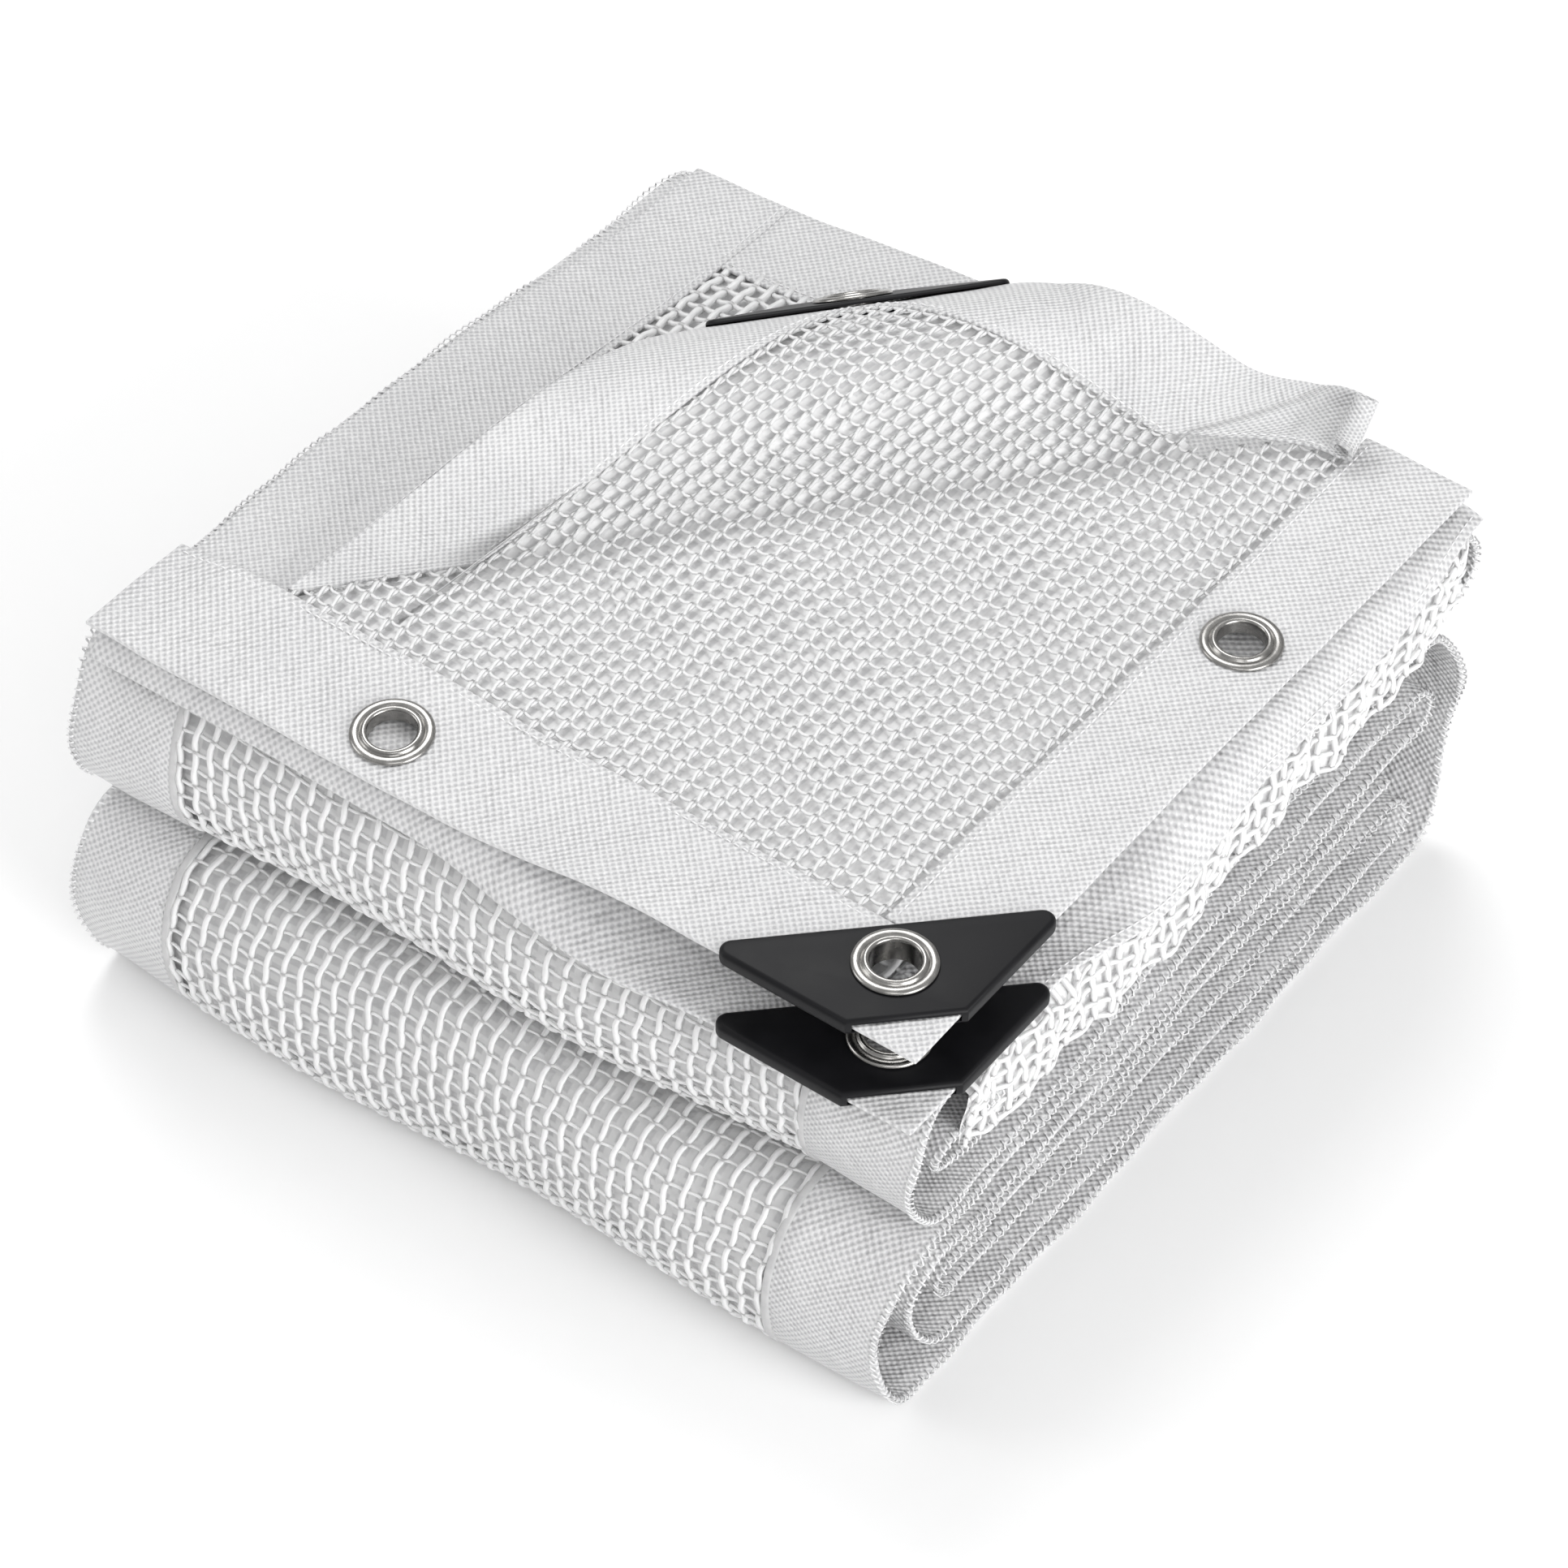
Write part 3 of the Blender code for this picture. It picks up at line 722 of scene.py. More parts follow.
@dataclass
class MeshParts:
    """Vertices, quads and their flat coordinates, gathered for one mesh."""

    points: list[Array] = field(default_factory=list)
    quads: list[Array] = field(default_factory=list)
    flat: list[Array] = field(default_factory=list)
    count: int = 0

    def add_grid(self, grid: Array, first: Array, second: Array, wrap: bool = False) -> None:
        """Adds a grid of points.

        Args:
            grid: Points, rows by columns.
            first: Their first flat coordinates.
            second: Their second flat coordinates.
            wrap: Whether the last column joins the first.
        """
        size = grid.shape[:2]
        index = np.arange(size[0] * size[1]).reshape(size) + self.count
        beside = np.roll(index, -1, axis=1)
        kept = slice(None) if wrap else slice(0, size[1] - 1)
        corners = [index[:-1, kept], beside[:-1, kept], beside[1:, kept], index[1:, kept]]
        self.quads.append(np.stack(corners, axis=-1).reshape(-1, 4))
        self.points.append(grid.reshape(-1, 3))
        flat = [np.broadcast_to(values, size) for values in (first, second)]
        self.flat.append(np.stack(flat, axis=-1).reshape(-1, 2))
        self.count += index.size

    def make(self, name: str, shift: Vector) -> Piece:
        """Builds the mesh.

        Args:
            name: Name of the piece.
            shift: From the design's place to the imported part's.

        Returns:
            The piece.
        """
        points = np.concatenate(self.points) + np.array(shift)
        quads = np.concatenate(self.quads)
        mesh = bpy.data.meshes.new(name)
        mesh.vertices.add(len(points))
        mesh.vertices.foreach_set("co", points.astype(np.float32).ravel())
        mesh.loops.add(quads.size)
        mesh.loops.foreach_set("vertex_index", quads.astype(np.int32).ravel())
        mesh.polygons.add(len(quads))
        mesh.polygons.foreach_set("loop_start", np.arange(0, quads.size, 4, dtype=np.int32))
        mesh.polygons.foreach_set("loop_total", np.full(len(quads), 4, dtype=np.int32))
        mesh.update(calc_edges=True)
        layer = mesh.uv_layers.new(name=FLAT_MAP)
        flat = np.concatenate(self.flat)[quads.ravel()]
        layer.data.foreach_set("uv", flat.astype(np.float32).ravel())
        mesh.shade_smooth()
        mesh.validate()
        return linked(name, mesh)


def dress(piece: Piece, slot: Slot, material: Material, *nodes: str) -> Piece:
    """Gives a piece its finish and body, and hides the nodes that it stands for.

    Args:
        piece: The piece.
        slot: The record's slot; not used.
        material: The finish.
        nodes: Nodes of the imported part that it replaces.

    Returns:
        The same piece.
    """
    piece.data.materials.clear()
    piece.data.materials.append(material)
    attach(piece, "root")
    if nodes:
        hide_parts(*nodes)
    log.info("%s: %d faces", piece.name, len(piece.data.polygons))
    return piece


@dataclass(frozen=True)
class Cloth:
    """One kind of cloth: its slot, how it lies and what it rests on."""

    slot: Slot
    held: Held
    rests_on: str

    def dress(
        self,
        piece: Piece,
        material: Material,
        flat: Pair,
        *nodes: str,
        **more: object,
    ) -> None:
        dress(piece, self.slot, material, *nodes)


class Nodes:
    """Short way to write a material's node tree."""

    def __init__(self, name: str) -> None:
        """Starts a material.

        Args:
            name: Name of the material.
        """
        self.material = bpy.data.materials.new(name)
        self.material.use_nodes = True
        self.tree = self.material.node_tree
        self.shader = self.tree.nodes["Principled BSDF"]

    def add(self, kind: str, inputs: Inputs | None = None, **settings: object) -> Node:
        """Adds a node.

        Args:
            kind: Blender's node type.
            inputs: Socket to a number, a colour or another node's output.
            settings: Properties of the node.

        Returns:
            The node.
        """
        node = self.tree.nodes.new(kind)
        for name, value in settings.items():
            setattr(node, name, value)
        self.link(node, inputs or {})
        return node

    def link(self, node: Node, inputs: Inputs) -> None:
        """Sets sockets of a node.

        Args:
            node: The node.
            inputs: Socket to a number, a colour or another node's output.
        """
        for name, value in inputs.items():
            if isinstance(value, Socket):
                self.tree.links.new(value, node.inputs[name])
            else:
                node.inputs[name].default_value = value

    def shade(self, inputs: dict[str, object]) -> Material:
        """Sets the shader's sockets and hands the material over."""
        self.link(self.shader, inputs)
        return self.material

    def place(self) -> Socket:
        """Coordinates on the piece."""
        return self.add("ShaderNodeTexCoord").outputs["Object"]

    def flat(self) -> tuple[Socket, Socket]:
        """Flat coordinates of the cloth, in metres."""
        places = self.add("ShaderNodeUVMap", uv_map=FLAT_MAP).outputs["UV"]
        split = self.add("ShaderNodeSeparateXYZ", {0: places})
        return split.outputs["X"], split.outputs["Y"]

    def maths(self, operation: str, *values: object) -> Socket:
        """One sum."""
        return self.add("ShaderNodeMath", dict(enumerate(values)), operation=operation).outputs[0]

    def wave(self, value: Socket, pitch: float) -> Socket:
        """Sine that turns half round in each pitch."""
        return self.maths("SINE", self.maths("MULTIPLY", value, math.pi / pitch))

    def ramp(self, factor: Socket, *stops: tuple[float, Sequence[float]]) -> Socket:
        """A colour ramp.

        Args:
            factor: Its input.
            stops: Place and colour of each stop.

        Returns:
            The colour's socket.
        """
        node = self.add("ShaderNodeValToRGB", {0: factor})
        set_stops(node, stops)
        return node.outputs["Color"]

    def noise(self, vector: Socket, scale: float, detail: float = 3.0) -> Socket:
        """A noise value, with its cells to a metre and its finer layers."""
        node = self.add("ShaderNodeTexNoise", {"Vector": vector, "Scale": scale, "Detail": detail})
        return node.outputs["Fac"]

    def bump(self, height: Socket, distance: float, strength: float, base: Socket | None = None) -> Socket:
        """A bump.

        Args:
            height: Height value.
            distance: Height in metres of one unit.
            strength: Share of it that shows.
            base: Normal socket that it adds to.

        Returns:
            The normal's socket.
        """
        inputs = {"Height": height, "Distance": distance, "Strength": strength}
        if base is not None:
            inputs["Normal"] = base
        return self.add("ShaderNodeBump", inputs).outputs["Normal"]

    def relief(self, place: Socket, relief: Relief, base: Socket | None = None) -> Socket:
        """Adds a bump of noise.

        Args:
            place: Coordinates.
            relief: Its scale, detail, height and strength.
            base: Normal socket that it adds to.

        Returns:
            The normal's socket.
        """
        scale, detail, height, strength = relief
        return self.bump(self.noise(place, scale, detail), height, strength, base)


def set_stops(node: Node, stops: Sequence[tuple[float, Sequence[float]]]) -> None:
    """Sets the stops of a colour ramp.

    Args:
        node: The ramp.
        stops: Place and colour of each stop.
    """
    elements = node.color_ramp.elements
    while len(elements) < len(stops):
        elements.new(0.5)
    for element, (place, colour) in zip(elements, stops):
        element.position = place
        element.color = (*colour, 1.0)


@dataclass(frozen=True)
class WovenTape:
    """Plain woven plastic tape of the bindings, with painted shade in the hollows between its threads."""

    name: str = "woven_tape"
    thread: float = 0.00130
    light: Triple = (0.76, 0.76, 0.76)
    # dark is painted shade in the hollows between threads
    dark: Triple = (0.52, 0.52, 0.53)
    soiled: Triple = (0.955, 0.955, 0.96)
    cloud: float = 35.0
    roughness: float = 0.42
    smoother: float = 0.14
    weave: Pair = (0.00045, 0.9)
    crumple: Relief = (60.0, 4.0, 0.0034, 0.6)
    crease: Relief = (150.0, 3.0, 0.0020, 0.7)

    def make(self) -> Material:
        """Builds the finish.

        Returns:
            The material.
        """
        nodes = Nodes(self.name)
        along, across = (nodes.wave(axis, self.thread) for axis in nodes.flat())
        place = nodes.place()
        height = nodes.maths("MULTIPLY_ADD", nodes.maths("MULTIPLY", along, across), 0.5, 0.5)
        # Darker where the weave is low: painted shade in the hollows between threads.
        colour = nodes.ramp(height, (0.12, self.dark), (0.62, self.light))
        tint = nodes.ramp(nodes.noise(place, self.cloud), (0.3, self.soiled), (0.7, (1.0, 1.0, 1.0)))
        shade = nodes.add("ShaderNodeMix", data_type="RGBA", blend_type="MULTIPLY")
        nodes.link(shade, {"Factor": 1.0, "A": colour, "B": tint})
        normal = nodes.relief(place, self.crease, nodes.relief(place, self.crumple))
        return nodes.shade(
            {
                "Base Color": shade.outputs["Result"],
                "Roughness": nodes.maths("MULTIPLY_ADD", height, -self.smoother, self.roughness),
                "Normal": nodes.bump(height, *self.weave, normal),
            }
        )


@dataclass(frozen=True)
class PackedNet:
    """Second layer of net that lies packed behind an outer one, with painted shade in its holes."""

    name: str = "packed_net"
    light: Triple = (0.80, 0.80, 0.80)
    # dark is painted shade in the holes, where the layers behind would show
    dark: Triple = (0.64, 0.64, 0.645)
    roughness: float = 0.45
    relief: Pair = (0.0006, 0.7)
    crumple: Relief = (160.0, 3.0, 0.0016, 0.6)

    def make(self) -> Material:
        """Builds the finish.

        Returns:
            The material.
        """
        nodes = Nodes(self.name)
        warps, wefts = (nodes.maths("ABSOLUTE", nodes.wave(axis, NET_PITCH)) for axis in nodes.flat())
        yarns = nodes.maths("MAXIMUM", warps, wefts)
        crumple = nodes.relief(nodes.place(), self.crumple)
        return nodes.shade(
            {
                # Darker in the holes between the yarn lines: painted shade of the layers behind.
                "Base Color": nodes.ramp(yarns, (0.74, self.dark), (0.90, self.light)),
                "Roughness": self.roughness,
                "Normal": nodes.bump(yarns, *self.relief, crumple),
            }
        )


@dataclass(frozen=True)
class Grained:
    """A finish with an uneven tone and a fine grain."""

    name: str
    light: Triple
    dark: Triple
    roughness: float
    cloud: Pair
    grain: Relief
    stops: Pair = (0.3, 0.7)
    rougher: float = 0.0
    more: tuple[tuple[str, object], ...] = ()

    def make(self) -> Material:
        """Builds the finish.

        Returns:
            The material.
        """
        nodes = Nodes(self.name)
        place = nodes.place()
        cloud = nodes.noise(place, *self.cloud)
        rough = self.roughness
        if self.rougher:
            rough = nodes.maths("MULTIPLY_ADD", cloud, self.rougher, rough)
        return nodes.shade(
            {
                "Base Color": nodes.ramp(cloud, *zip(self.stops, (self.dark, self.light))),
                "Roughness": rough,
                "Normal": nodes.relief(place, self.grain),
                **dict(self.more),
            }
        )


YARN = Grained(
    "net_yarn",
    (0.91, 0.91, 0.91),
    (0.85, 0.85, 0.855),
    0.38,
    cloud=(60.0, 3.0),
    grain=(900.0, 2.0, 0.0003, 0.4),
    stops=(0.25, 0.6),
    more=(("Subsurface Weight", 0.7), ("Subsurface Radius", (1.0, 1.0, 1.0)), ("Subsurface Scale", 0.003)),
)
SEWING_THREAD = Grained(
    "sewing_thread",
    (0.93, 0.93, 0.93),
    (0.80, 0.80, 0.81),
    0.4,
    cloud=(220.0, 3.0),
    grain=(1600.0, 1.0, 0.0002, 0.3),
)
# Grey finish of the strips beside the net: painted shade along the seam with the binding.
SEAM_SHADE_EDGE = replace(
    SEWING_THREAD, name="seam_shade_edge", light=(0.60, 0.60, 0.60), dark=(0.50, 0.50, 0.505), roughness=0.33
)
GUARD_PLASTIC = Grained(
    "guard_plastic",
    (0.0060, 0.0060, 0.0075),
    (0.0035, 0.0035, 0.0045),
    0.38,
    cloud=(90.0, 3.0),
    grain=(2600.0, 2.0, 0.00006, 0.35),
    rougher=0.14,
    more=(("Specular IOR Level", 0.22),),
)
EYELET_METAL = Grained(
    "eyelet_metal",
    (0.42, 0.41, 0.395),
    (0.28, 0.275, 0.265),
    0.18,
    cloud=(300.0, 4.0),
    grain=(1400.0, 2.0, 0.00003, 0.4),
    stops=(0.3, 0.75),
    rougher=0.16,
    more=(("Metallic", 1.0),),
)


class Finishes:
    """Every finish, made once."""

    def __init__(self) -> None:
        """Makes them all."""
        self.tape = WovenTape().make()
        self.yarn = YARN.make()
        self.packed = PackedNet().make()
        self.stitch = SEWING_THREAD.make()
        # painted shade along the seams beside the net
        self.edge = SEAM_SHADE_EDGE.make()
        self.guard = GUARD_PLASTIC.make()
        self.metal = EYELET_METAL.make()


@dataclass(frozen=True)
class Weaver:
    """Lays yarns over a surface, with waves that draw its even places a little out of line."""

    first_waves: tuple[Wave, ...] = ((0.0007, 0.0, 23.0, 71.0), (0.0004, 0.0, 61.0, 190.0))
    second_waves: tuple[Wave, ...] = ((0.0008, 0.0, 83.0, 17.0), (0.0004, 0.0, 210.0, -47.0))

    def lay(
        self,
        parts: MeshParts,
        place: Place,
        first: Array | float,
        second: Array | float,
        lift: Array | float,
        radius: float,
        sides: int = 4,
    ) -> None:
        """Lays one yarn.

        Args:
            parts: Mesh that it goes to.
            place: The sheet's surface.
            first: First places along the yarn.
            second: Second places along the yarn.
            lift: Height over the surface along the yarn.
            radius: Half the yarn's thickness.
            sides: Sides of its section.
        """
        first, second, lift = np.broadcast_arrays(first, second, lift)
        drawn_first = first + ripples(self.first_waves, first, second)
        drawn_second = second + ripples(self.second_waves, first, second)
        normal = surface_normal(place, drawn_first, drawn_second)
        centre = place(drawn_first, drawn_second) + normal * lift[:, None]
        rings = tube(centre, normal, radius, sides, 0.5)
        ends = [np.broadcast_to(centre[end], (1, sides, 3)) for end in (0, -1)]
        along = lengths_of(centre)
        round_it = np.arange(sides) / sides * 2 * math.pi * radius
        along = np.concatenate([along[:1], along, along[-1:]])
        parts.add_grid(np.concatenate([ends[0], rings, ends[1]]), along[:, None], round_it, wrap=True)


@dataclass(frozen=True)
class PlainNet:
    """Plain net, whose warps and wefts cross over and under each other."""

    parts: MeshParts
    place: Place
    columns: Array
    rows: Array
    warp_radius: float
    weft_radius: float
    zigzag: float = 0.0003
    bow: float = 0.0003
    lift: float = 0.0003

    @property
    def gap(self) -> float:
        """Distance between warps."""
        return self.columns[1] - self.columns[0]

    @property
    def step(self) -> float:
        """Distance between wefts."""
        return self.rows[1] - self.rows[0]

    def add_warps(self, second: Array) -> None:
        """Lays every warp.

        Args:
            second: Places along them.
        """
        for number, column in enumerate(self.columns):
            lift = self.lift * np.cos(math.pi * ((second - self.rows[0]) / self.step + number))
            side = self.zigzag * np.cos(math.pi * second / self.step)
            Weaver().lay(self.parts, self.place, column + side, second, lift, self.warp_radius)

    def add_weft(self, number: int, first: Array, sides: int = 4) -> None:
        """Lays one weft.

        Args:
            number: Its row.
            first: Places along it.
            sides: Sides of its section.
        """
        turns = (first - self.columns[0]) / self.gap
        second = self.rows[number] + self.bow * np.cos(2 * math.pi * turns)
        lift = -self.lift * np.cos(math.pi * (turns + number))
        Weaver().lay(self.parts, self.place, first, second, lift, self.weft_radius, sides)

    def add_all(self, first: Array, second: Array) -> None:
        """Lays every yarn.

        Args:
            first: Places along the wefts.
            second: Places along the warps.
        """
        self.add_warps(second)
        for number in range(len(self.rows)):
            self.add_weft(number, first)


@dataclass(frozen=True)
class Ribbon:
    """Builds a woven band of even thickness with rolled edges and small uneven waves."""

    thickness: float = 0.0015
    roll: float = 0.0005
    rumple: float = 0.00022
    waves: tuple[Wave, ...] = (
        (1.0, 0.0, 97.0, 61.0, 40.0),
        (0.7, 1.3, -83.0, 151.0, 0.0),
        (0.5, 0.7, 230.0, 190.0, -120.0),
    )

    def make(self, name: str, place: Place, firsts: Array, seconds: Array, shift: Vector) -> Piece:
        """Builds a band.

        Args:
            name: Name of the piece.
            place: Its surface.
            firsts: First places, along the rows.
            seconds: Second places, one to a row.
            shift: From the design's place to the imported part's.

        Returns:
            The piece.
        """
        first, second = grid_of(firsts, seconds)
        points = place(first, second)
        wave = self.rumple * ripples(self.waves, *np.moveaxis(points, -1, 0))
        parts = MeshParts()
        parts.add_grid(points + surface_normal(place, first, second) * wave[..., None], first, second)
        return self.thicken(parts.make(name, shift))

    def thicken(self, piece: Piece) -> Piece:
        """Gives a single layer its thickness and rolled edges.

        Args:
            piece: The layer.

        Returns:
            The same piece.
        """
        thick = piece.modifiers.new("Thickness", "SOLIDIFY")
        thick.thickness = self.thickness
        thick.offset = 0.0
        thick.use_even_offset = False
        roll_edges(piece, self.roll, 2)
        return piece


@dataclass(frozen=True)
class PackedLayer:
    """Builds the second layer of net, which shows through the holes of an outer one."""

    finish: Material
    shift: Vector
    depth: float = 0.0022
    crumple: float = 0.0006

    def build(
        self,
        name: str,
        place: Place,
        grids: Sequence[tuple[Array, Array]],
        flat: Pair,
        cloth: Cloth,
        side: float = -1.0,
        **more: float,
    ) -> None:
        """Builds one layer.

        Args:
            name: Name of the piece.
            place: Surface of the outer layer.
            grids: First and second places of each of its stretches.
            flat: Its flat width and length; not used.
            cloth: The kind of cloth that dresses it.
            side: 1 where it lies on the side that the surface's normal points to, and -1 otherwise.
            more: Its flat area, where its cut isn't a rectangle; not used.
        """
        parts = MeshParts()
        for first, second in grids:
            uneven = np.sin(70.0 * second + 300.0 * first) * np.sin(90.0 * first + 130.0 * second)
            away = side * (self.depth + self.crumple * uneven)
            surface = place(first, second) + surface_normal(place, first, second) * away[..., None]
            parts.add_grid(surface, first, second)
        cloth.dress(parts.make(name, self.shift), self.finish, flat, **more)


@dataclass(frozen=True)
class Stitching:
    """Rows of machine stitches that lie on a band."""

    length: float = 0.0023
    pitch: float = 0.0030
    radius: float = 0.00030
    sides: int = 5
    shares: tuple[float, ...] = (0.0, 0.12, 0.5, 0.88, 1.0)
    girths: tuple[float, ...] = (0.15, 0.8, 1.0, 0.8, 0.15)
    heights: tuple[float, ...] = (-0.9, -0.2, 0.35, -0.2, -0.9)

    def row(self, parts: MeshParts, place: Place, first: Array, second: Array, lift: float) -> None:
        """Lays one row.

        Args:
            parts: Mesh that it goes to.
            place: The band's surface.
            first: First places along the row, close together.
            second: Second places along the row.
            lift: Height of the row over the surface.
        """
        along = lengths_of(place(first, second))
        rises = lift + np.array(self.heights) * self.radius
        for start in np.arange(self.pitch, along[-1] - self.pitch, self.pitch):
            places = start + np.array(self.shares) * self.length
            a, b = np.interp(places, along, first), np.interp(places, along, second)
            normal = surface_normal(place, a, b)
            centre = place(a, b) + normal * rises[:, None]
            rings = tube(centre, normal, self.radius * np.array(self.girths), self.sides)
            parts.add_grid(rings, places[:, None], 0.0, wrap=True)


@dataclass(frozen=True)
class FoldedStack:
    """The long folded run: net in the middle and a binding along each end."""

    shape: Shape
    finishes: Finishes
    shift: Vector
    net: Cloth = Cloth(Slot.NET, Held.FOLDED, "stack_net_low")
    binding: Cloth = Cloth(Slot.BINDING, Held.FOLDED, "stack_binding_left_low")
    warp_radius: float = 0.00108
    weft_radius: float = 0.00055
    zigzag: float = 0.00040
    into_band: float = 0.003
    behind: float = 0.0026
    behind_ends: float = 0.006
    behind_step: float = 0.003
    outer_fold: float = 0.062
    edge_stitch: float = 0.0030
    edge_thread: float = 0.00038
    stitch_reach: Pair = (0.0014, 0.0012)
    stitch_in: float = 0.0006
    stitch_end: float = 0.002
    edge_width: float = 0.0024
    edge_out: float = 0.0009
    edge_shares: tuple[float, ...] = (-0.35, -0.15, 0.2, 0.6, 0.9, 1.0)
    edge_heights: tuple[float, ...] = (0.3, 1.0, 1.15, 1.1, 0.9, 0.1)
    fold_step: float = 0.0022
    run_step: float = 0.008

    @property
    def left(self) -> float:
        """Left edge of the net."""
        return self.shape.left + self.shape.band

    @property
    def right(self) -> float:
        """Right edge of the net."""
        return self.shape.inner_right

    def place(self, path: FoldPath) -> Place:
        """Surface of one span, from X and the distance along its section."""
        return lambda x, along: self.shape.settle(x, *path.at(along))

    def build(self) -> None:
        """Builds the three spans, each with its net and its two bindings."""
        for name, path in zip(("low", "middle", "top"), fold_paths(self.shape)):
            self.add_net(name, path, self.add_edges(name, path))
            for side, low, high in (
                ("left", self.shape.left, self.left),
                ("right", self.right, self.shape.right),
            ):
                self.add_binding(f"binding_{side}_{name}", path, low, high)
            self.add_edge_stitches(name, path)
            self.add_second_layers(name, path)

    def add_net(self, name: str, path: FoldPath, edges: Piece) -> None:
        """Builds the net of one span.

        Args:
            name: Name of the span.
            path: Its section.
            edges: The smooth strips beside it; not used.
        """
        parts = MeshParts()
        columns, rows = crossings(self.left, self.right), crossings(0.0, path.length)
        radii = (self.warp_radius, self.weft_radius)
        net = PlainNet(parts, self.place(path), columns, rows, *radii, self.zigzag)
        stations = [0.0]
        for low, high in zip(rows - net.step / 2, rows + net.step / 2):
            pieces = 3 if path.folded(np.array([low, high])).any() else 1
            stations += list(np.linspace(low, high, pieces + 1)[1:])
        net.add_warps(np.array(stations))
        for number, row in enumerate(rows):
            pieces, sides = (3, 4) if path.folded(np.array([row]))[0] else (1, 3)
            x = steps_between(self.left - self.into_band, self.right + self.into_band, net.gap / pieces)
            net.add_weft(number, x, sides)
        piece = parts.make("net_run_" + name, self.shift)
        flat = (self.right - self.left, path.length)
        self.net.dress(piece, self.finishes.yarn, flat, "stack_net_" + name, with_pieces=[edges])

    def add_binding(self, name: str, path: FoldPath, low: float, high: float) -> None:
        """Builds the binding along one end of one span.

        Args:
            name: Name of it, without the stack's.
            path: Section of the span.
            low: Lower edge along X.
            high: Higher edge along X.
        """
        across = np.linspace(low, high, 7)
        piece = Ribbon().make("run_" + name, self.place(path), across, self.stations(path), self.shift)
        self.binding.dress(piece, self.finishes.tape, (high - low, path.length), "stack_" + name)

    def add_second_layers(self, name: str, path: FoldPath) -> None:
        """Builds the net that lies close behind a span's outer folds.

        Args:
            name: Name of the span.
            path: Its section.
        """
        place = self.place(path)
        fine = steps_between(0.0, path.length, 0.001)
        changes = np.flatnonzero(np.diff(path.folded(fine).astype(int), prepend=0, append=0))
        for start, end in changes.reshape(-1, 2):
            low, high = fine[start] - self.behind_ends, fine[end - 1] + self.behind_ends
            if high - low < self.outer_fold:
                continue
            middle = np.array([(low + high) / 2])
            back = path.at(middle)[0][0] > 0.0
            outward = np.sign(surface_normal(place, np.zeros(1), middle)[0, 1])
            across = steps_between(self.left, self.right, BAND_STEP)
            grid = grid_of(across, steps_between(low, high, self.behind_step))
            PackedLayer(self.finishes.packed, self.shift, self.behind).build(
                f"net_behind_{name}_{'back' if back else 'front'}",
                place,
                [grid],
                (self.right - self.left, high - low),
                self.net,
                -outward if back else outward,
            )

    def add_edge_stitches(self, name: str, path: FoldPath) -> None:
        """Builds the whip stitches round the bindings' outer edges.

        Args:
            name: Name of the span.
            path: Its section.
        """
        parts, place = MeshParts(), self.place(path)
        along = steps_between(self.stitch_end, path.length - self.stitch_end, self.edge_stitch / 6)
        turn = 2 * math.pi * along / self.edge_stitch
        around = self.stitch_reach[0] * np.cos(turn) - self.stitch_in
        lift = self.stitch_reach[1] * np.sin(turn)
        for first in (self.shape.right + around, self.shape.left - around):
            Weaver().lay(parts, place, first, along, lift, self.edge_thread, 3)
        dress(parts.make("edge_stitches_" + name, self.shift), Slot.BINDING, self.finishes.stitch)

    def stations(self, path: FoldPath) -> Array:
        """Places along a span, close together in its folds.

        Args:
            path: Section of the span.

        Returns:
            Distances along the section.
        """
        places, now = [0.0], 0.0
        while now < path.length:
            folded = path.folded(np.array([now, now + self.run_step])).any()
            now = min(now + (self.fold_step if folded else self.run_step), path.length)
            places.append(now)
        return np.array(places)

    def add_edges(self, name: str, path: FoldPath) -> Piece:
        """Builds the smooth strips that border the net on both sides, grey with painted shade of the seam.

        Args:
            name: Name of the span.
            path: Its section.

        Returns:
            The piece.
        """
        parts, place = MeshParts(), self.place(path)
        across = np.array(self.edge_shares) * self.edge_width
        for x, side in ((self.left, 1.0), (self.right, -1.0)):
            first, second = grid_of(x + side * across, self.stations(path))
            away = surface_normal(place, first, second) * np.array(self.edge_heights)[None, :, None]
            for top in (1.0, -1.0):
                parts.add_grid(place(first, second) + top * self.edge_out * away, first, second)
        return dress(parts.make("net_edges_" + name, self.shift), Slot.BINDING, self.finishes.edge)


@dataclass(frozen=True)
class BoundSheet:
    """Shared work of the two bound sheets on top."""

    shape: Shape
    finishes: Finishes
    shift: Vector
    band_lift: float = 0.00078
    inset: float = 0.0026
    into_band: float = 0.003
    stitch_step: float = 0.002

    def band(
        self, node: str, place: Place, firsts: Array, seconds: Array, flat: Pair, held: Held
    ) -> None:
        """Builds one band."""
        piece = Ribbon().make(node.replace("binding", "band"), place, firsts, seconds, self.shift)
        Cloth(Slot.BINDING, held, "stack_net_top").dress(piece, self.finishes.tape, flat, node)

    def stitches(self, name: str, rows: Sequence[tuple[Place, Array | float, Array | float]]) -> None:
        """Builds rows of stitches on the bands.

        Args:
            name: Name of the piece.
            rows: Surface and places of each row.
        """
        parts = MeshParts()
        for place, first, second in rows:
            first, second = np.broadcast_arrays(first, second)
            Stitching().row(parts, place, first, second, self.band_lift)
        dress(parts.make(name, self.shift), Slot.BINDING, self.finishes.stitch)


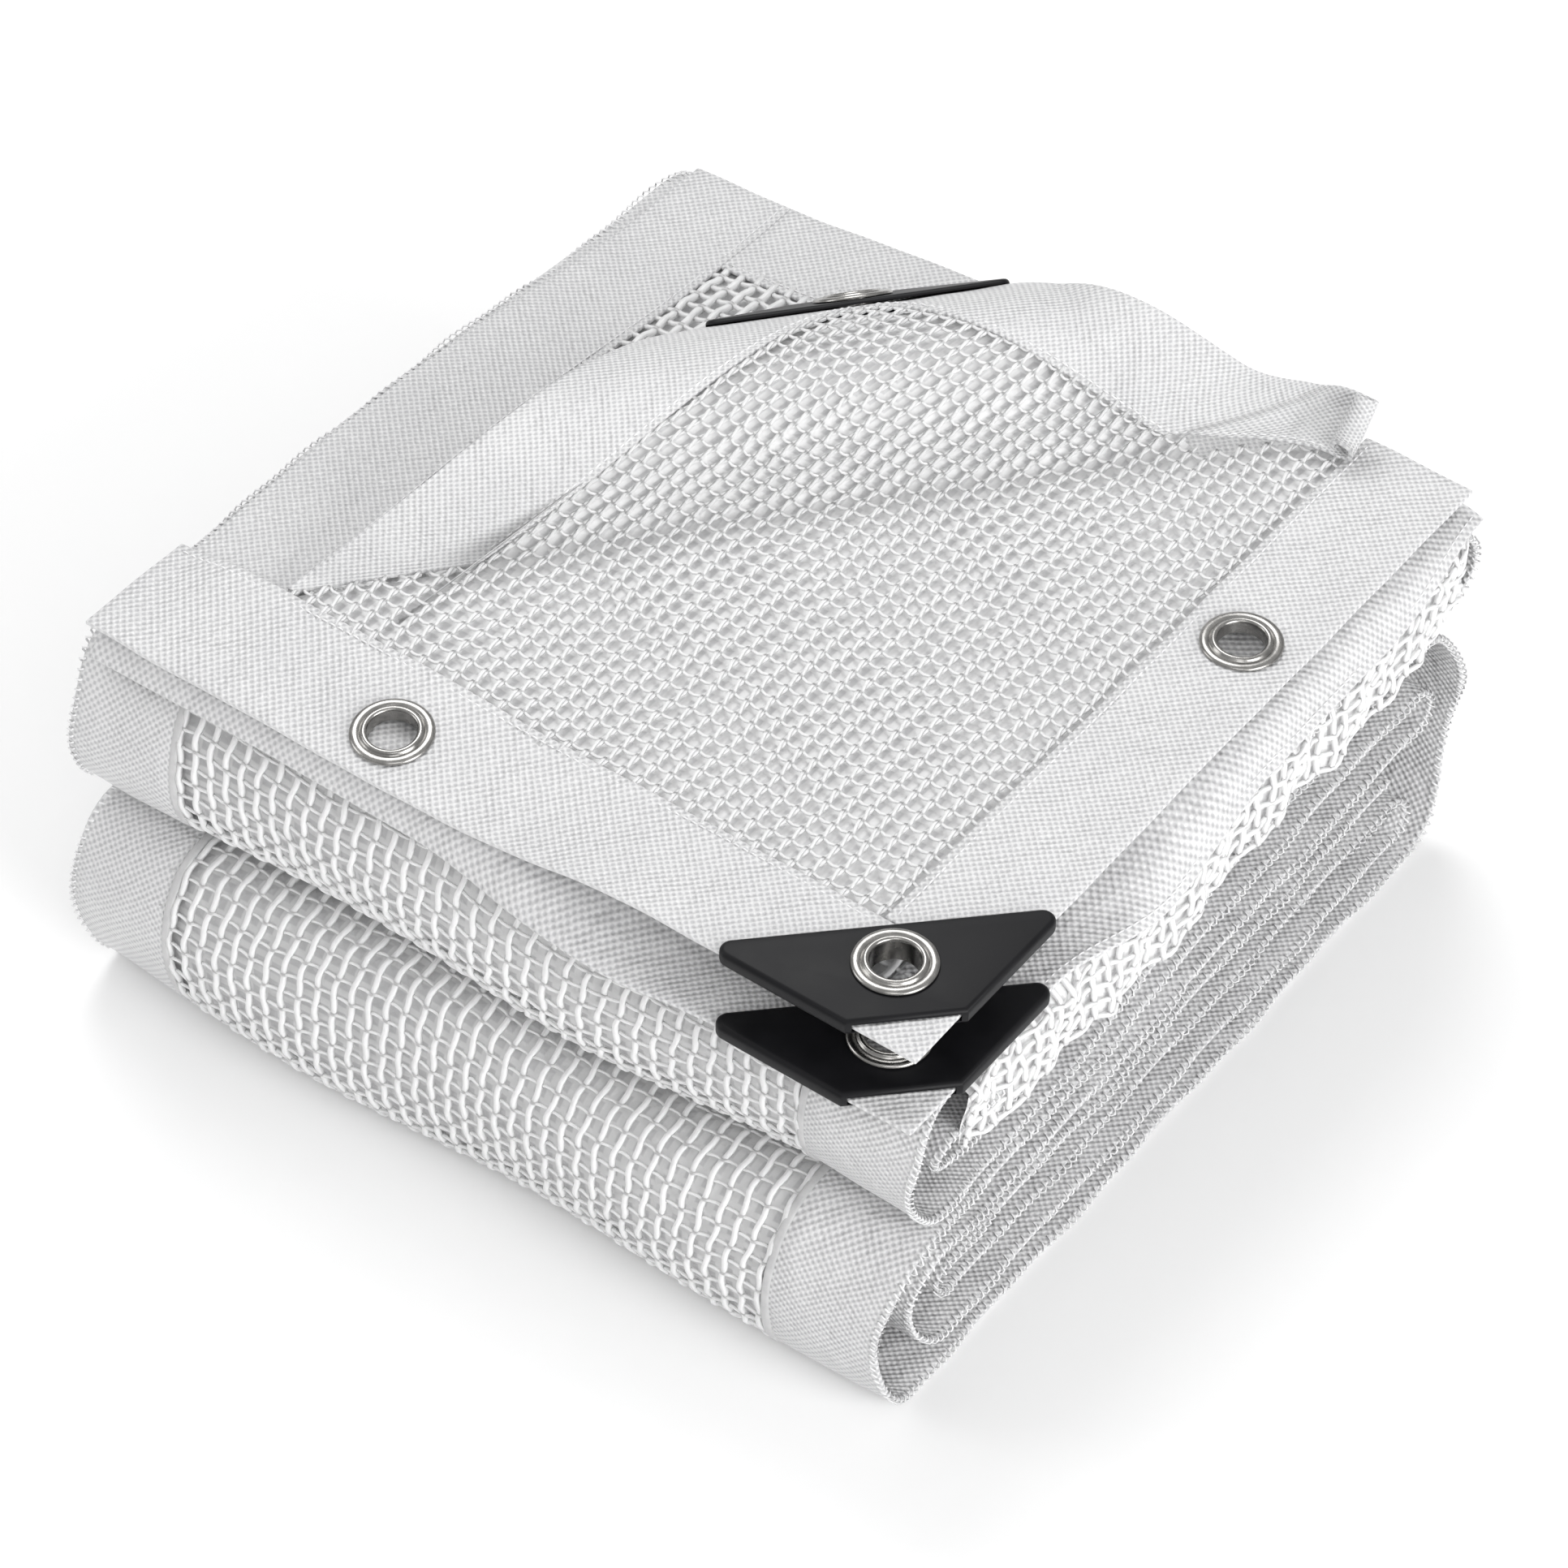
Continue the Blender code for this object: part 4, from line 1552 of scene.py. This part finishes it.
@dataclass(frozen=True)
class LowerSheet(BoundSheet):
    """The lower bound sheet, whose front and right bindings hang over the folds."""

    warp_radius: float = 0.00130
    weft_radius: float = 0.00085
    strip_radii: Pair = (0.00080, 0.00100)
    strip_width: float = 0.030
    strip_ends: Pair = (-0.118, 0.146)
    strip_behind: float = 0.0018
    strip_crumple: float = 0.0003

    def build(self) -> None:
        """Builds its net, its four bindings and their stitches."""
        shape = self.shape
        left, right, band = shape.lower_left + shape.band, shape.inner_right, shape.band
        length, depth = shape.right - shape.lower_left, shape.sheet_back - shape.inner_front
        self.add_net(left)
        full_x = steps_between(shape.lower_left, shape.right, BAND_STEP)
        full_y = steps_between(shape.inner_front, shape.sheet_back, LONG_STEP)
        widths = np.linspace(0.0, band, 15)
        left_x = np.linspace(shape.lower_left, left, 8)
        back_x = steps_between(left, right, LONG_STEP)
        back_y = np.linspace(shape.inner_back, shape.sheet_back, 8)
        front_flat, right_flat = (band + shape.apron, length), (band + shape.side_apron, depth)
        self.band("lower_binding_front", shape.front_apron, full_x, widths, front_flat, Held.DRAPED)
        self.band("lower_binding_right", shape.right_apron, widths, full_y, right_flat, Held.DRAPED)
        self.band("lower_binding_left", shape.lower, left_x, full_y, (band, depth), Held.LAID)
        self.band("lower_binding_back", shape.lower, back_x, back_y, (band, right - left), Held.LAID)
        self.add_side_strip()
        line_x = steps_between(shape.lower_left, shape.right, self.stitch_step)
        line_y = steps_between(shape.inner_front, shape.sheet_back, self.stitch_step)
        rows = [
            (shape.front_apron, line_x, band - self.inset),
            (shape.right_apron, band - self.inset, line_y),
            (shape.lower, left - self.inset, line_y),
            (shape.lower, steps_between(left, right, self.stitch_step), shape.inner_back + self.inset),
        ]
        self.stitches("lower_stitches", rows)

    def add_net(self, left: float) -> None:
        """Builds the net.

        Args:
            left: Inner edge of the left binding.
        """
        shape, parts = self.shape, MeshParts()
        columns = crossings(left, shape.inner_right)
        rows = crossings(shape.inner_front, shape.inner_back)
        net = PlainNet(parts, shape.lower, columns, rows, self.warp_radius, self.weft_radius)
        into = self.into_band
        y = steps_between(shape.inner_front - into, shape.inner_back + into, net.step / 2)
        x = steps_between(left - into, shape.inner_right + into, net.gap / 2)
        net.add_all(x, y)
        flat = (shape.inner_right - left, shape.inner_back - shape.inner_front)
        cloth = Cloth(Slot.NET, Held.LAID, "stack_net_top")
        cloth.dress(parts.make("lower_net_yarns", self.shift), self.finishes.yarn, flat, "lower_net")
        behind = PackedLayer(self.finishes.packed, self.shift)
        behind.build("lower_net_behind", shape.lower, [grid_of(x, y)], flat, cloth)

    def add_side_strip(self) -> None:
        """Builds the loose strip of net that hangs on the right side."""
        place, parts = self.shape.side_strip, MeshParts()
        columns, rows = np.linspace(0.0, self.strip_width, 6), crossings(*self.strip_ends)
        net = PlainNet(parts, place, columns, rows, *self.strip_radii, zigzag=0.0, bow=0.0)
        y = steps_between(*self.strip_ends, net.step / 3)
        down = steps_between(0.0, self.strip_width, net.gap / 3)
        net.add_all(down, y)
        flat = (self.strip_width, self.strip_ends[1] - self.strip_ends[0])
        cloth = Cloth(Slot.NET, Held.DRAPED, "stack_net_top")
        cloth.dress(parts.make("side_net_strip", self.shift), self.finishes.yarn, flat)
        behind = PackedLayer(self.finishes.packed, self.shift, self.strip_behind, self.strip_crumple)
        behind.build("side_net_behind", place, [grid_of(down, y)], flat, cloth)


@dataclass(frozen=True)
class UpperSheet(BoundSheet):
    """The upper bound sheet, with its lifted back left corner."""

    net: Cloth = Cloth(Slot.NET, Held.DRAPED, "lower_net")
    strand_radius: float = 0.00062
    strand_apart: float = 0.00052
    strand_lift: float = 0.00034
    weft_radius: float = 0.00052
    weft_bow: float = 0.0004
    shortest: float = 0.004
    point: float = 0.003
    flap_back_length: float = 0.162
    flap_left_length: float = 0.233
    roll_turn: float = 5.0
    stitches_end: float = 0.108

    def build(self) -> None:
        """Builds its net, bindings and stitches."""
        shape = self.shape
        band, inset, step = shape.band, self.inset, self.stitch_step
        self.add_net()
        self.add_second_layer()
        front_x = steps_between(shape.upper_left, shape.right, BAND_STEP)
        front_y = np.linspace(shape.sheet_front, shape.inner_front, 13)
        front_flat = (band, shape.right - shape.upper_left)
        self.band("upper_binding_front", shape.flat, front_x, front_y, front_flat, Held.LAID)
        right_x = np.linspace(shape.inner_right, shape.right, 13)
        right_y = steps_between(shape.inner_front + shape.gap, shape.sheet_back, BAND_STEP)
        right_flat = (band, shape.sheet_back - shape.inner_front)
        self.band("upper_binding_right", shape.flat, right_x, right_y, right_flat, Held.LAID)
        self.add_flap_left()
        back_x = steps_between(shape.inner_left + shape.gap, shape.tip, FLAP_STEP)
        back_y = np.linspace(shape.inner_back, shape.sheet_back, 17)
        back_flat = (band, self.flap_back_length)
        self.band("flap_binding_back", shape.lap, back_x, back_y, back_flat, Held.DRAPED)
        self.add_tip_roll()
        across = steps_between(shape.upper_left, shape.right, step)
        down = steps_between(shape.inner_front, shape.sheet_back, step)
        lifted = steps_between(float(shape.crease_v(shape.inner_left)) + 0.004, shape.inner_back, step)
        rows = [
            (shape.flat, across, shape.inner_front - inset),
            (shape.flat, shape.inner_right + inset, down),
            (shape.sheet, shape.inner_left - inset, lifted),
            (shape.lap, steps_between(shape.inner_left, self.stitches_end, step), shape.inner_back + inset),
        ]
        self.stitches("upper_stitches", rows)

    def add_tip_roll(self) -> None:
        """Builds the small roll at the right tip of the lifted corner."""
        shape = self.shape
        rolled = self.roll_turn * shape.tip_radius
        along = np.linspace(0.0, rolled, 15)
        across = np.linspace(shape.inner_back + 0.001, shape.sheet_back, 9)
        roll = Ribbon().make("flap_band_roll", shape.tip_roll, along, across, self.shift)
        cloth = Cloth(Slot.BINDING, Held.DRAPED, "lower_net")
        cloth.dress(roll, self.finishes.tape, (rolled, shape.band / 2))

    def add_flap_left(self) -> None:
        """Builds the binding on the lifted corner's left edge, from its pointed tip to the corner."""
        shape = self.shape
        start = shape.crease_start
        seconds = steps_between(start[1] + self.point, shape.sheet_back, FLAP_STEP)[:, None]
        inner = np.minimum(shape.inner_left, shape.crease_u(seconds))
        first = start[0] + (inner - start[0]) * np.linspace(0.0, 1.0, 13)
        second = np.broadcast_to(seconds, first.shape)
        parts = MeshParts()
        parts.add_grid(shape.sheet(first, second), first, second)
        piece = Ribbon().thicken(parts.make("flap_band_left", self.shift))
        narrow = float(shape.crease_v(shape.inner_left)) - start[1]
        area = shape.band * (self.flap_left_length - narrow / 2)
        flat = (shape.band, self.flap_left_length)
        cloth = Cloth(Slot.BINDING, Held.DRAPED, "stack_net_top")
        cloth.dress(piece, self.finishes.tape, flat, "flap_binding_left", area=area)

    def ends_of_warp(self, u: float) -> Pair:
        """Ends of one yarn that runs to the back.

        Args:
            u: Its place along X.

        Returns:
            First and last place along Y.
        """
        shape = self.shape
        front, crease = shape.inner_front - self.into_band, float(shape.crease_v(u))
        if u < shape.inner_left - 1e-9:
            return front, crease
        if crease > shape.inner_back:
            return front, min(crease, shape.sheet_back - 0.002)
        return front, shape.inner_back + self.into_band

    def ends_of_weft(self, v: float) -> Pair:
        """Ends of one yarn that runs to the right.

        Args:
            v: Its place along Y.

        Returns:
            First and last place along X.
        """
        shape = self.shape
        crease = float(shape.crease_u(v))
        past = v > shape.inner_back or crease < shape.inner_left
        return crease if past else shape.inner_left - self.into_band, shape.inner_right + self.into_band

    def add_net(self) -> None:
        """Builds the net: twisted pairs of warp strands that hold single bowed wefts."""
        shape, parts = self.shape, MeshParts()
        columns = crossings(shape.crease_start[0], shape.inner_right)
        rows = crossings(shape.inner_front, shape.sheet_back)
        gap, step = columns[1] - columns[0], rows[1] - rows[0]
        ends = [self.ends_of_warp(float(column)) for column in columns]
        for column, (low, high) in zip(columns, ends):
            if high - low < self.shortest:
                continue
            v = steps_between(low, high, step / 4)
            turn = math.pi * (v - rows[0]) / step
            for side in (1.0, -1.0):
                first = column + side * self.strand_apart * np.cos(turn)
                lift = side * self.strand_lift * np.sin(turn)
                Weaver().lay(parts, shape.sheet, first, v, lift, self.strand_radius)
        for row in rows:
            low, high = self.ends_of_weft(float(row))
            if high - low < self.shortest:
                continue
            u = steps_between(low, high, gap / 4)
            bow = self.weft_bow * np.cos(2 * math.pi * ((u - columns[0]) / gap))
            Weaver().lay(parts, shape.sheet, u, row + bow, 0.0, self.weft_radius)
        piece = parts.make("upper_net_yarns", self.shift)
        flat = (shape.inner_right - shape.crease_start[0], shape.sheet_back - shape.inner_front)
        area = float(sum(high - low for low, high in ends) * gap)
        self.net.dress(piece, self.finishes.yarn, flat, "upper_net", area=area)

    def add_second_layer(self) -> None:
        """Builds the layer of net packed under the upper one."""
        shape = self.shape
        grids, area = [], 0.0
        left, right = shape.crease_start[0] + 0.001, shape.inner_right + self.into_band
        for low, high, least in (
            (left, shape.inner_left, left),
            (shape.inner_left - self.into_band, right, shape.inner_left),
        ):
            columns = steps_between(low, high, BAND_STEP)
            ends = np.array([self.ends_of_warp(max(float(column), least)) for column in columns])
            second = ends[:, :1] + (ends[:, 1:] - ends[:, :1]) * np.linspace(0.0, 1.0, 56)
            grids.append((np.broadcast_to(columns[:, None], second.shape), second))
            area += float(np.mean(ends[:, 1] - ends[:, 0])) * (high - low)
        flat = (right - left, shape.sheet_back - shape.inner_front)
        behind = PackedLayer(self.finishes.packed, self.shift)
        behind.build("upper_net_behind", shape.sheet, grids, flat, self.net, area=area)


def section_frame(place: Place, x: float, y: float, step: float = 0.004) -> Matrix:
    """Frame on a sheet, with Z along its upward normal.

    Args:
        place: The sheet's surface.
        x: First place.
        y: Second place.
        step: Distance of the samples.

    Returns:
        The frame.
    """
    along_x = Vector(place(x + step, y)) - Vector(place(x - step, y))
    along_y = Vector(place(x, y + step)) - Vector(place(x, y - step))
    normal = along_x.cross(along_y).normalized()
    along_x.normalize()
    axes = Matrix((along_x, normal.cross(along_x), normal)).transposed()
    return Matrix.Translation(Vector(place(x, y))) @ axes.to_4x4()


def corner_frame(
    place: Place,
    tip: Pair,
    inward: Pair,
    near: float = 0.016,
    far: float = 0.030,
    across: float = 0.010,
) -> Matrix:
    """Frame of a cloth corner, with Y out along the diagonal and Z up.

    Args:
        place: The sheet's surface.
        tip: Flat place of the corner.
        inward: Direction into the sheet.
        near: Distance of the outer sample.
        far: Distance of the inner sample.
        across: Distance of the samples beside it.

    Returns:
        The frame, with its origin at the corner.
    """

    def at(along_x: float, along_y: float) -> Vector:
        """Point at two distances into the sheet."""
        return Vector(place(tip[0] + inward[0] * along_x, tip[1] + inward[1] * along_y))

    outer, inner = at(near, near), at(far, far)
    out = (outer - inner).normalized()
    normal = (at(far + across, far - across) - at(far - across, far + across)).cross(out).normalized()
    if normal.z < 0:
        normal.negate()
    axes = Matrix((out.cross(normal), out, normal)).transposed()
    corner = outer + (outer - inner) * (near / (far - near))
    return Matrix.Translation(corner) @ axes.to_4x4()


def roll_edges(piece: Piece, width: float, segments: int) -> None:
    """Rounds a piece's sharp edges.

    Args:
        piece: The piece.
        width: Width of the rounding.
        segments: Steps round it.
    """
    rolled = piece.modifiers.new("Rolled", "BEVEL")
    rolled.width = width
    rolled.segments = segments
    rolled.limit_method = "ANGLE"
    rolled.angle_limit = math.radians(60)


def solid(name: str, shape: bmesh.types.BMesh, place: Matrix) -> Piece:
    """Makes an object of a shape, which is used up.

    Args:
        name: Name of the object.
        shape: The shape.
        place: Its frame.

    Returns:
        The object.
    """
    mesh = bpy.data.meshes.new(name)
    shape.to_mesh(mesh)
    shape.free()
    mesh.transform(place)
    return linked(name, mesh)


def drill(name: str, place: Matrix, steps: int, radius: float = 0.0085, depth: float = 0.014) -> Piece:
    """Makes the cutter of a round hole.

    Args:
        name: Name of the cutter.
        place: Its frame.
        steps: Steps round it.
        radius: Radius of the hole.
        depth: Length of the cutter.

    Returns:
        The cutter.
    """
    shape = bmesh.new()
    radii = {"radius1": radius, "radius2": radius}
    bmesh.ops.create_cone(shape, cap_ends=True, segments=steps, depth=depth, **radii)
    return solid(name, shape, place)


def cut(piece: Piece, cutter: Piece) -> None:
    """Cuts one object out of another.

    Args:
        piece: What is cut.
        cutter: What is taken away.
    """
    hole = piece.modifiers.new("Cut", "BOOLEAN")
    hole.operation = "DIFFERENCE"
    hole.solver = "EXACT"
    hole.object = cutter


def settled(piece: Piece, sharp: float) -> bpy.types.Mesh:
    """Mesh of a piece with its modifiers worked in.

    Args:
        piece: The piece.
        sharp: Angle in degrees over which an edge stays sharp.

    Returns:
        The mesh.
    """
    mesh = bpy.data.meshes.new_from_object(piece.evaluated_get(bpy.context.evaluated_depsgraph_get()))
    mesh.shade_smooth()
    mesh.set_sharp_from_angle(angle=math.radians(sharp))
    return mesh


def discard(pieces: Sequence[Piece]) -> None:
    """Removes objects that were only tools."""
    for piece in pieces:
        bpy.data.objects.remove(piece, do_unlink=True)


@dataclass(frozen=True)
class CornerGuard:
    """A moulded corner guard: a flat sleeve with rolled sides, open at its two cross edges."""

    name: str
    place: Matrix
    finish: Material
    thick: float = 0.0054
    room: float = 0.0026
    long_edge: float = 0.0498
    short_edge: float = 0.0145
    past_edges: float = 0.004
    over: float = 0.0018
    wall: float = 0.0013
    round_radius: float = 0.0037
    round_steps: int = 10
    roll: float = 0.0016
    eyelet: float = 0.0345

    def outline(self, over: float, long_edge: float, short_edge: float, radius: float) -> Outline:
        """Outline of the guard.

        Args:
            over: How far its sides lie past the cloth's edges.
            long_edge: Distance of the inner edge from the corner.
            short_edge: Distance of the outer edge from the corner.
            radius: Rounding of the two far corners.

        Returns:
            Points, in order.
        """
        spread = over * math.sqrt(2.0)
        wide, narrow = long_edge + spread, short_edge + spread
        if radius == 0:
            return [(-wide, -long_edge), (wide, -long_edge), (narrow, -short_edge), (-narrow, -short_edge)]
        centre = (wide - radius / math.tan(math.radians(22.5)), -long_edge + radius)
        points = []
        for step in range(self.round_steps + 1):
            angle = math.radians(-90 + 135 * step / self.round_steps)
            points.append((centre[0] + radius * math.cos(angle), centre[1] + radius * math.sin(angle)))
        points.append((narrow, -short_edge))
        return points + [(-x, y) for x, y in reversed(points)]

    def prism(self, name: str, outline: Outline, thick: float) -> Piece:
        """A closed prism over an outline.

        Args:
            name: Its name.
            outline: Points, in order.
            thick: Its thickness.

        Returns:
            The object, in place.
        """
        shape = bmesh.new()
        face = shape.faces.new([shape.verts.new((x, y, -thick / 2)) for x, y in outline])
        grown = bmesh.ops.extrude_face_region(shape, geom=[face])
        moved = [part for part in grown["geom"] if isinstance(part, bmesh.types.BMVert)]
        bmesh.ops.translate(shape, verts=moved, vec=(0, 0, thick))
        bmesh.ops.recalc_face_normals(shape, faces=shape.faces)
        return solid(self.name + name, shape, self.place)

    def build(self) -> None:
        """Builds the guard."""
        outside = self.outline(self.over, self.long_edge, self.short_edge, self.round_radius)
        long_edge, short_edge = self.long_edge + self.past_edges, self.short_edge - self.past_edges
        inside = self.outline(self.over - self.wall, long_edge, short_edge, 0)
        body = self.prism("_shell", outside, self.thick)
        roll_edges(body, self.roll, 4)
        hole = self.place @ Matrix.Translation((0, -self.eyelet, 0))
        cutters = [self.prism("_room", inside, self.room), drill(self.name + "_drill", hole, 48)]
        for cutter in cutters:
            cut(body, cutter)
        bpy.context.view_layer.update()
        piece = linked(self.name + "_moulding", settled(body, 32))
        discard([body, *cutters])
        dress(piece, Slot.GUARD, self.finish, self.name)


@dataclass(frozen=True)
class Eyelet:
    """A pressed metal eyelet: domed flange and rolled lip on top, washer below."""

    name: str
    place: Matrix
    grip: float
    finish: Material
    hole: float = 0.0073
    wall: float = 0.0009
    out: float = 0.0125
    back_out: float = 0.0115
    gap: float = 0.0003
    curl: float = 0.0010
    lip: float = 0.0006
    lip_end: float = 0.00062
    bead: float = 0.0004
    washer: float = 0.0009
    dome: float = 0.0016
    segments: int = 72

    def profile(self) -> Outline:
        """Turned section.

        Returns:
            Radii and heights.
        """
        top, bottom = self.grip / 2 + self.gap, -self.grip / 2 - self.gap
        washer = bottom - self.washer
        points = [(self.hole, bottom - self.lip), (self.hole, top + self.bead)]
        for turn in np.radians(range(165, 20, -18)):
            radius = self.hole + self.curl * (1 + math.cos(turn))
            points.append((radius, top + self.lip + self.curl * math.sin(turn)))
        points.append((self.hole + 4 * self.lip, top + self.lip_end))
        for turn in np.radians(range(150, -1, -15)):
            radius = self.out - self.dome + self.dome * math.cos(turn)
            points.append((radius, top + 0.0001 + self.curl * math.sin(turn)))
        return points + [
            (self.out - self.bead, top),
            (self.hole + self.wall, top),
            (self.hole + self.wall, bottom),
            (self.back_out - self.bead / 2, bottom),
            (self.back_out, bottom - self.bead),
            (self.back_out - self.lip, washer),
            (self.hole + self.lip, washer),
        ]

    def build(self) -> None:
        """Builds the eyelet."""
        closed = np.array([*self.profile(), self.profile()[0]])
        angles = 2 * math.pi * np.arange(self.segments) / self.segments
        radii, heights = closed[:, :1], closed[:, 1:]
        grid = joined(radii * np.cos(angles), radii * np.sin(angles), heights)
        parts = MeshParts()
        parts.add_grid(grid, np.arange(len(closed))[:, None] * 0.001, angles * 0.01, wrap=True)
        piece = parts.make(self.name + "_turned", Vector())
        shape = bmesh.new()
        shape.from_mesh(piece.data)
        bmesh.ops.remove_doubles(shape, verts=shape.verts, dist=1e-6)
        bmesh.ops.recalc_face_normals(shape, faces=shape.faces)
        shape.to_mesh(piece.data)
        shape.free()
        piece.data.transform(self.place)
        piece.data.shade_smooth()
        piece.data.set_sharp_from_angle(angle=math.radians(50))
        dress(piece, Slot.EYELET, self.finish, self.name)


@dataclass(frozen=True)
class Fittings:
    """The corner guards and eyelets, each on the sheet that it is fixed to."""

    shape: Shape
    finishes: Finishes
    shift: Vector
    front_eyelet: Pair = (-0.043, -0.125)
    right_eyelet: Pair = (0.131, 0.050)
    punched: tuple[tuple[str, str], ...] = (
        ("eyelet_front", "upper_band_front"),
        ("eyelet_upper_corner", "upper_band_front"),
        ("eyelet_right", "upper_band_right"),
        ("eyelet_lower_corner", "lower_band_front"),
        ("eyelet_flap_corner", "flap_band_left"),
    )

    def frames(self) -> dict[str, Matrix]:
        """Where the guards sit.

        Returns:
            Frame of each, by its name.
        """
        shape, moved = self.shape, Matrix.Translation(self.shift)
        front_tip = (shape.right, shape.sheet_front)
        back_tip = (shape.crease_start[0], shape.sheet_back)
        return {
            "upper": moved @ corner_frame(shape.flat, front_tip, (-1, 1)),
            "lower": moved @ corner_frame(shape.lower, front_tip, (-1, 1)),
            "flap": moved @ corner_frame(shape.sheet, back_tip, (1, -1)),
        }

    def holes(self) -> dict[str, Matrix]:
        """Where the eyelets sit.

        Returns:
            Frame of each, by its node's name.
        """
        moved, inward = Matrix.Translation(self.shift), Matrix.Translation((0, -CornerGuard.eyelet, 0))
        found = {f"eyelet_{name}_corner": place @ inward for name, place in self.frames().items()}
        found["eyelet_front"] = moved @ section_frame(self.shape.flat, *self.front_eyelet)
        found["eyelet_right"] = moved @ section_frame(self.shape.flat, *self.right_eyelet)
        return found

    def build(self) -> None:
        """Builds the guards and the eyelets."""
        for name, place in self.frames().items():
            CornerGuard("guard_" + name, place, self.finishes.guard).build()
        for name, place in self.holes().items():
            grip = CornerGuard.thick if name.endswith("corner") else self.shape.cloth
            Eyelet(name, place, grip, self.finishes.metal).build()

    def punch(self) -> None:
        """Cuts the eyelets' holes in the bands that they go through."""
        bands = dict(self.punched)
        cutters = []
        for name, place in self.holes().items():
            cutters.append(drill(name + "_punch", place, 40))
            cut(bpy.data.objects[bands[name]], cutters[-1])
        bpy.context.view_layer.update()
        meshes = {name: settled(bpy.data.objects[name], 50) for name in sorted(set(bands.values()))}
        for name, mesh in meshes.items():
            band = bpy.data.objects[name]
            band.modifiers.clear()
            band.data = mesh
        discard(cutters)


@dataclass(frozen=True)
class Lamp:
    """One soft area light, turned to the part."""

    name: str
    place: Triple
    size: float
    power: float
    height: float = 0.08

    def build(self) -> None:
        """Adds the light."""
        data = bpy.data.lights.new(self.name, "AREA")
        data.shape = "DISK"
        data.size = self.size
        data.energy = self.power
        light = linked(self.name, data)
        light.location = self.place
        toward = Vector((0.0, 0.0, self.height)) - Vector(self.place)
        light.rotation_euler = toward.to_track_quat("-Z", "Y").to_euler()


@dataclass(frozen=True)
class Studio:
    """Pale floor, soft light and the camera."""

    azimuth: float = 35.5
    elevation: float = 45.4
    roll: float = 1.4
    distance: float = 1.628
    lens: float = 121.1
    sensor: float = 36.0
    target: Triple = (0.001, -0.003, 0.056)
    floor_half: float = 6.0
    floor: float = 0.99
    world: float = 0.66
    sky: tuple[Pair, ...] = (
        (0.0, 0.90),
        (0.12, 0.80),
        (0.40, 0.50),
        (0.60, 0.95),
        (1.0, 1.0),
    )
    lamps: tuple[Lamp, ...] = (
        Lamp("top_light", (-0.9, 0.8, 2.0), 1.3, 19.0),
        Lamp("front_light", (1.0, -1.4, 1.8), 0.9, 5.0),
        Lamp("left_light", (-1.9, -1.2, 1.2), 1.1, 8.0),
        Lamp("right_light", (1.9, -0.4, 0.85), 1.6, 30.0, height=0.06),
    )

    def build(self) -> None:
        """Builds the floor, lights, world and camera."""
        self.add_floor()
        for lamp in self.lamps:
            lamp.build()
        self.add_world()
        bpy.context.scene.view_settings.view_transform = "Standard"
        self.add_camera()

    def add_world(self) -> None:
        """Builds the soft light from all sides, by its height."""
        world = bpy.data.worlds.new("studio")
        world.use_nodes = True
        tree = world.node_tree
        background = tree.nodes["Background"]
        background.inputs["Strength"].default_value = self.world
        direction = tree.nodes.new("ShaderNodeTexCoord")
        split = tree.nodes.new("ShaderNodeSeparateXYZ")
        ramp = tree.nodes.new("ShaderNodeValToRGB")
        set_stops(ramp, [(height, (light, light, light)) for height, light in self.sky])
        tree.links.new(direction.outputs["Generated"], split.inputs[0])
        tree.links.new(split.outputs["Z"], ramp.inputs[0])
        tree.links.new(ramp.outputs["Color"], background.inputs["Color"])
        bpy.context.scene.world = world

    def add_floor(self) -> None:
        """Builds the floor."""
        half = self.floor_half
        mesh = bpy.data.meshes.new("floor")
        corners = [(-half, -half, 0), (half, -half, 0), (half, half, 0), (-half, half, 0)]
        mesh.from_pydata(corners, [], [(0, 1, 2, 3)])
        colour = (self.floor, self.floor, self.floor, 1.0)
        mesh.materials.append(Nodes("floor_paint").shade({"Base Color": colour, "Roughness": 0.9}))
        linked("floor", mesh)

    def add_camera(self) -> None:
        """Adds the camera at the photograph's angle."""
        az, el, roll = (math.radians(value) for value in (self.azimuth, self.elevation, self.roll))
        back = Vector((math.sin(az) * math.cos(el), -math.cos(az) * math.cos(el), math.sin(el)))
        right = (-back).cross(Vector((0, 0, 1))).normalized()
        up = right.cross(-back)
        right_rolled = right * math.cos(roll) + up * math.sin(roll)
        up_rolled = -right * math.sin(roll) + up * math.cos(roll)
        place = Vector(self.target) + back * self.distance
        axes = Matrix((right_rolled, up_rolled, back)).transposed()
        data = bpy.data.cameras.new("camera")
        data.sensor_width = self.sensor
        data.lens = self.lens
        camera = linked("camera", data)
        camera.matrix_world = Matrix.Translation(place) @ axes.to_4x4()
        bpy.context.scene.camera = camera


def part_shift(shape: Shape) -> Vector:
    """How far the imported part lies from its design's place."""
    _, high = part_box("upper_binding_right")
    return Vector((high.x - shape.right, high.y - shape.sheet_back, 0.0))


def main() -> None:
    """Builds every piece, in order."""
    logging.basicConfig(level=logging.INFO, format="%(message)s")
    shape = Shape()
    shift = part_shift(shape)
    log.info("shift of the part: %s", [round(value, 6) for value in shift])
    finishes = Finishes()
    Studio().build()
    FoldedStack(shape, finishes, shift).build()
    LowerSheet(shape, finishes, shift).build()
    UpperSheet(shape, finishes, shift).build()
    fittings = Fittings(shape, finishes, shift)
    fittings.build()
    fittings.punch()


if __name__ == "__main__":
    main()
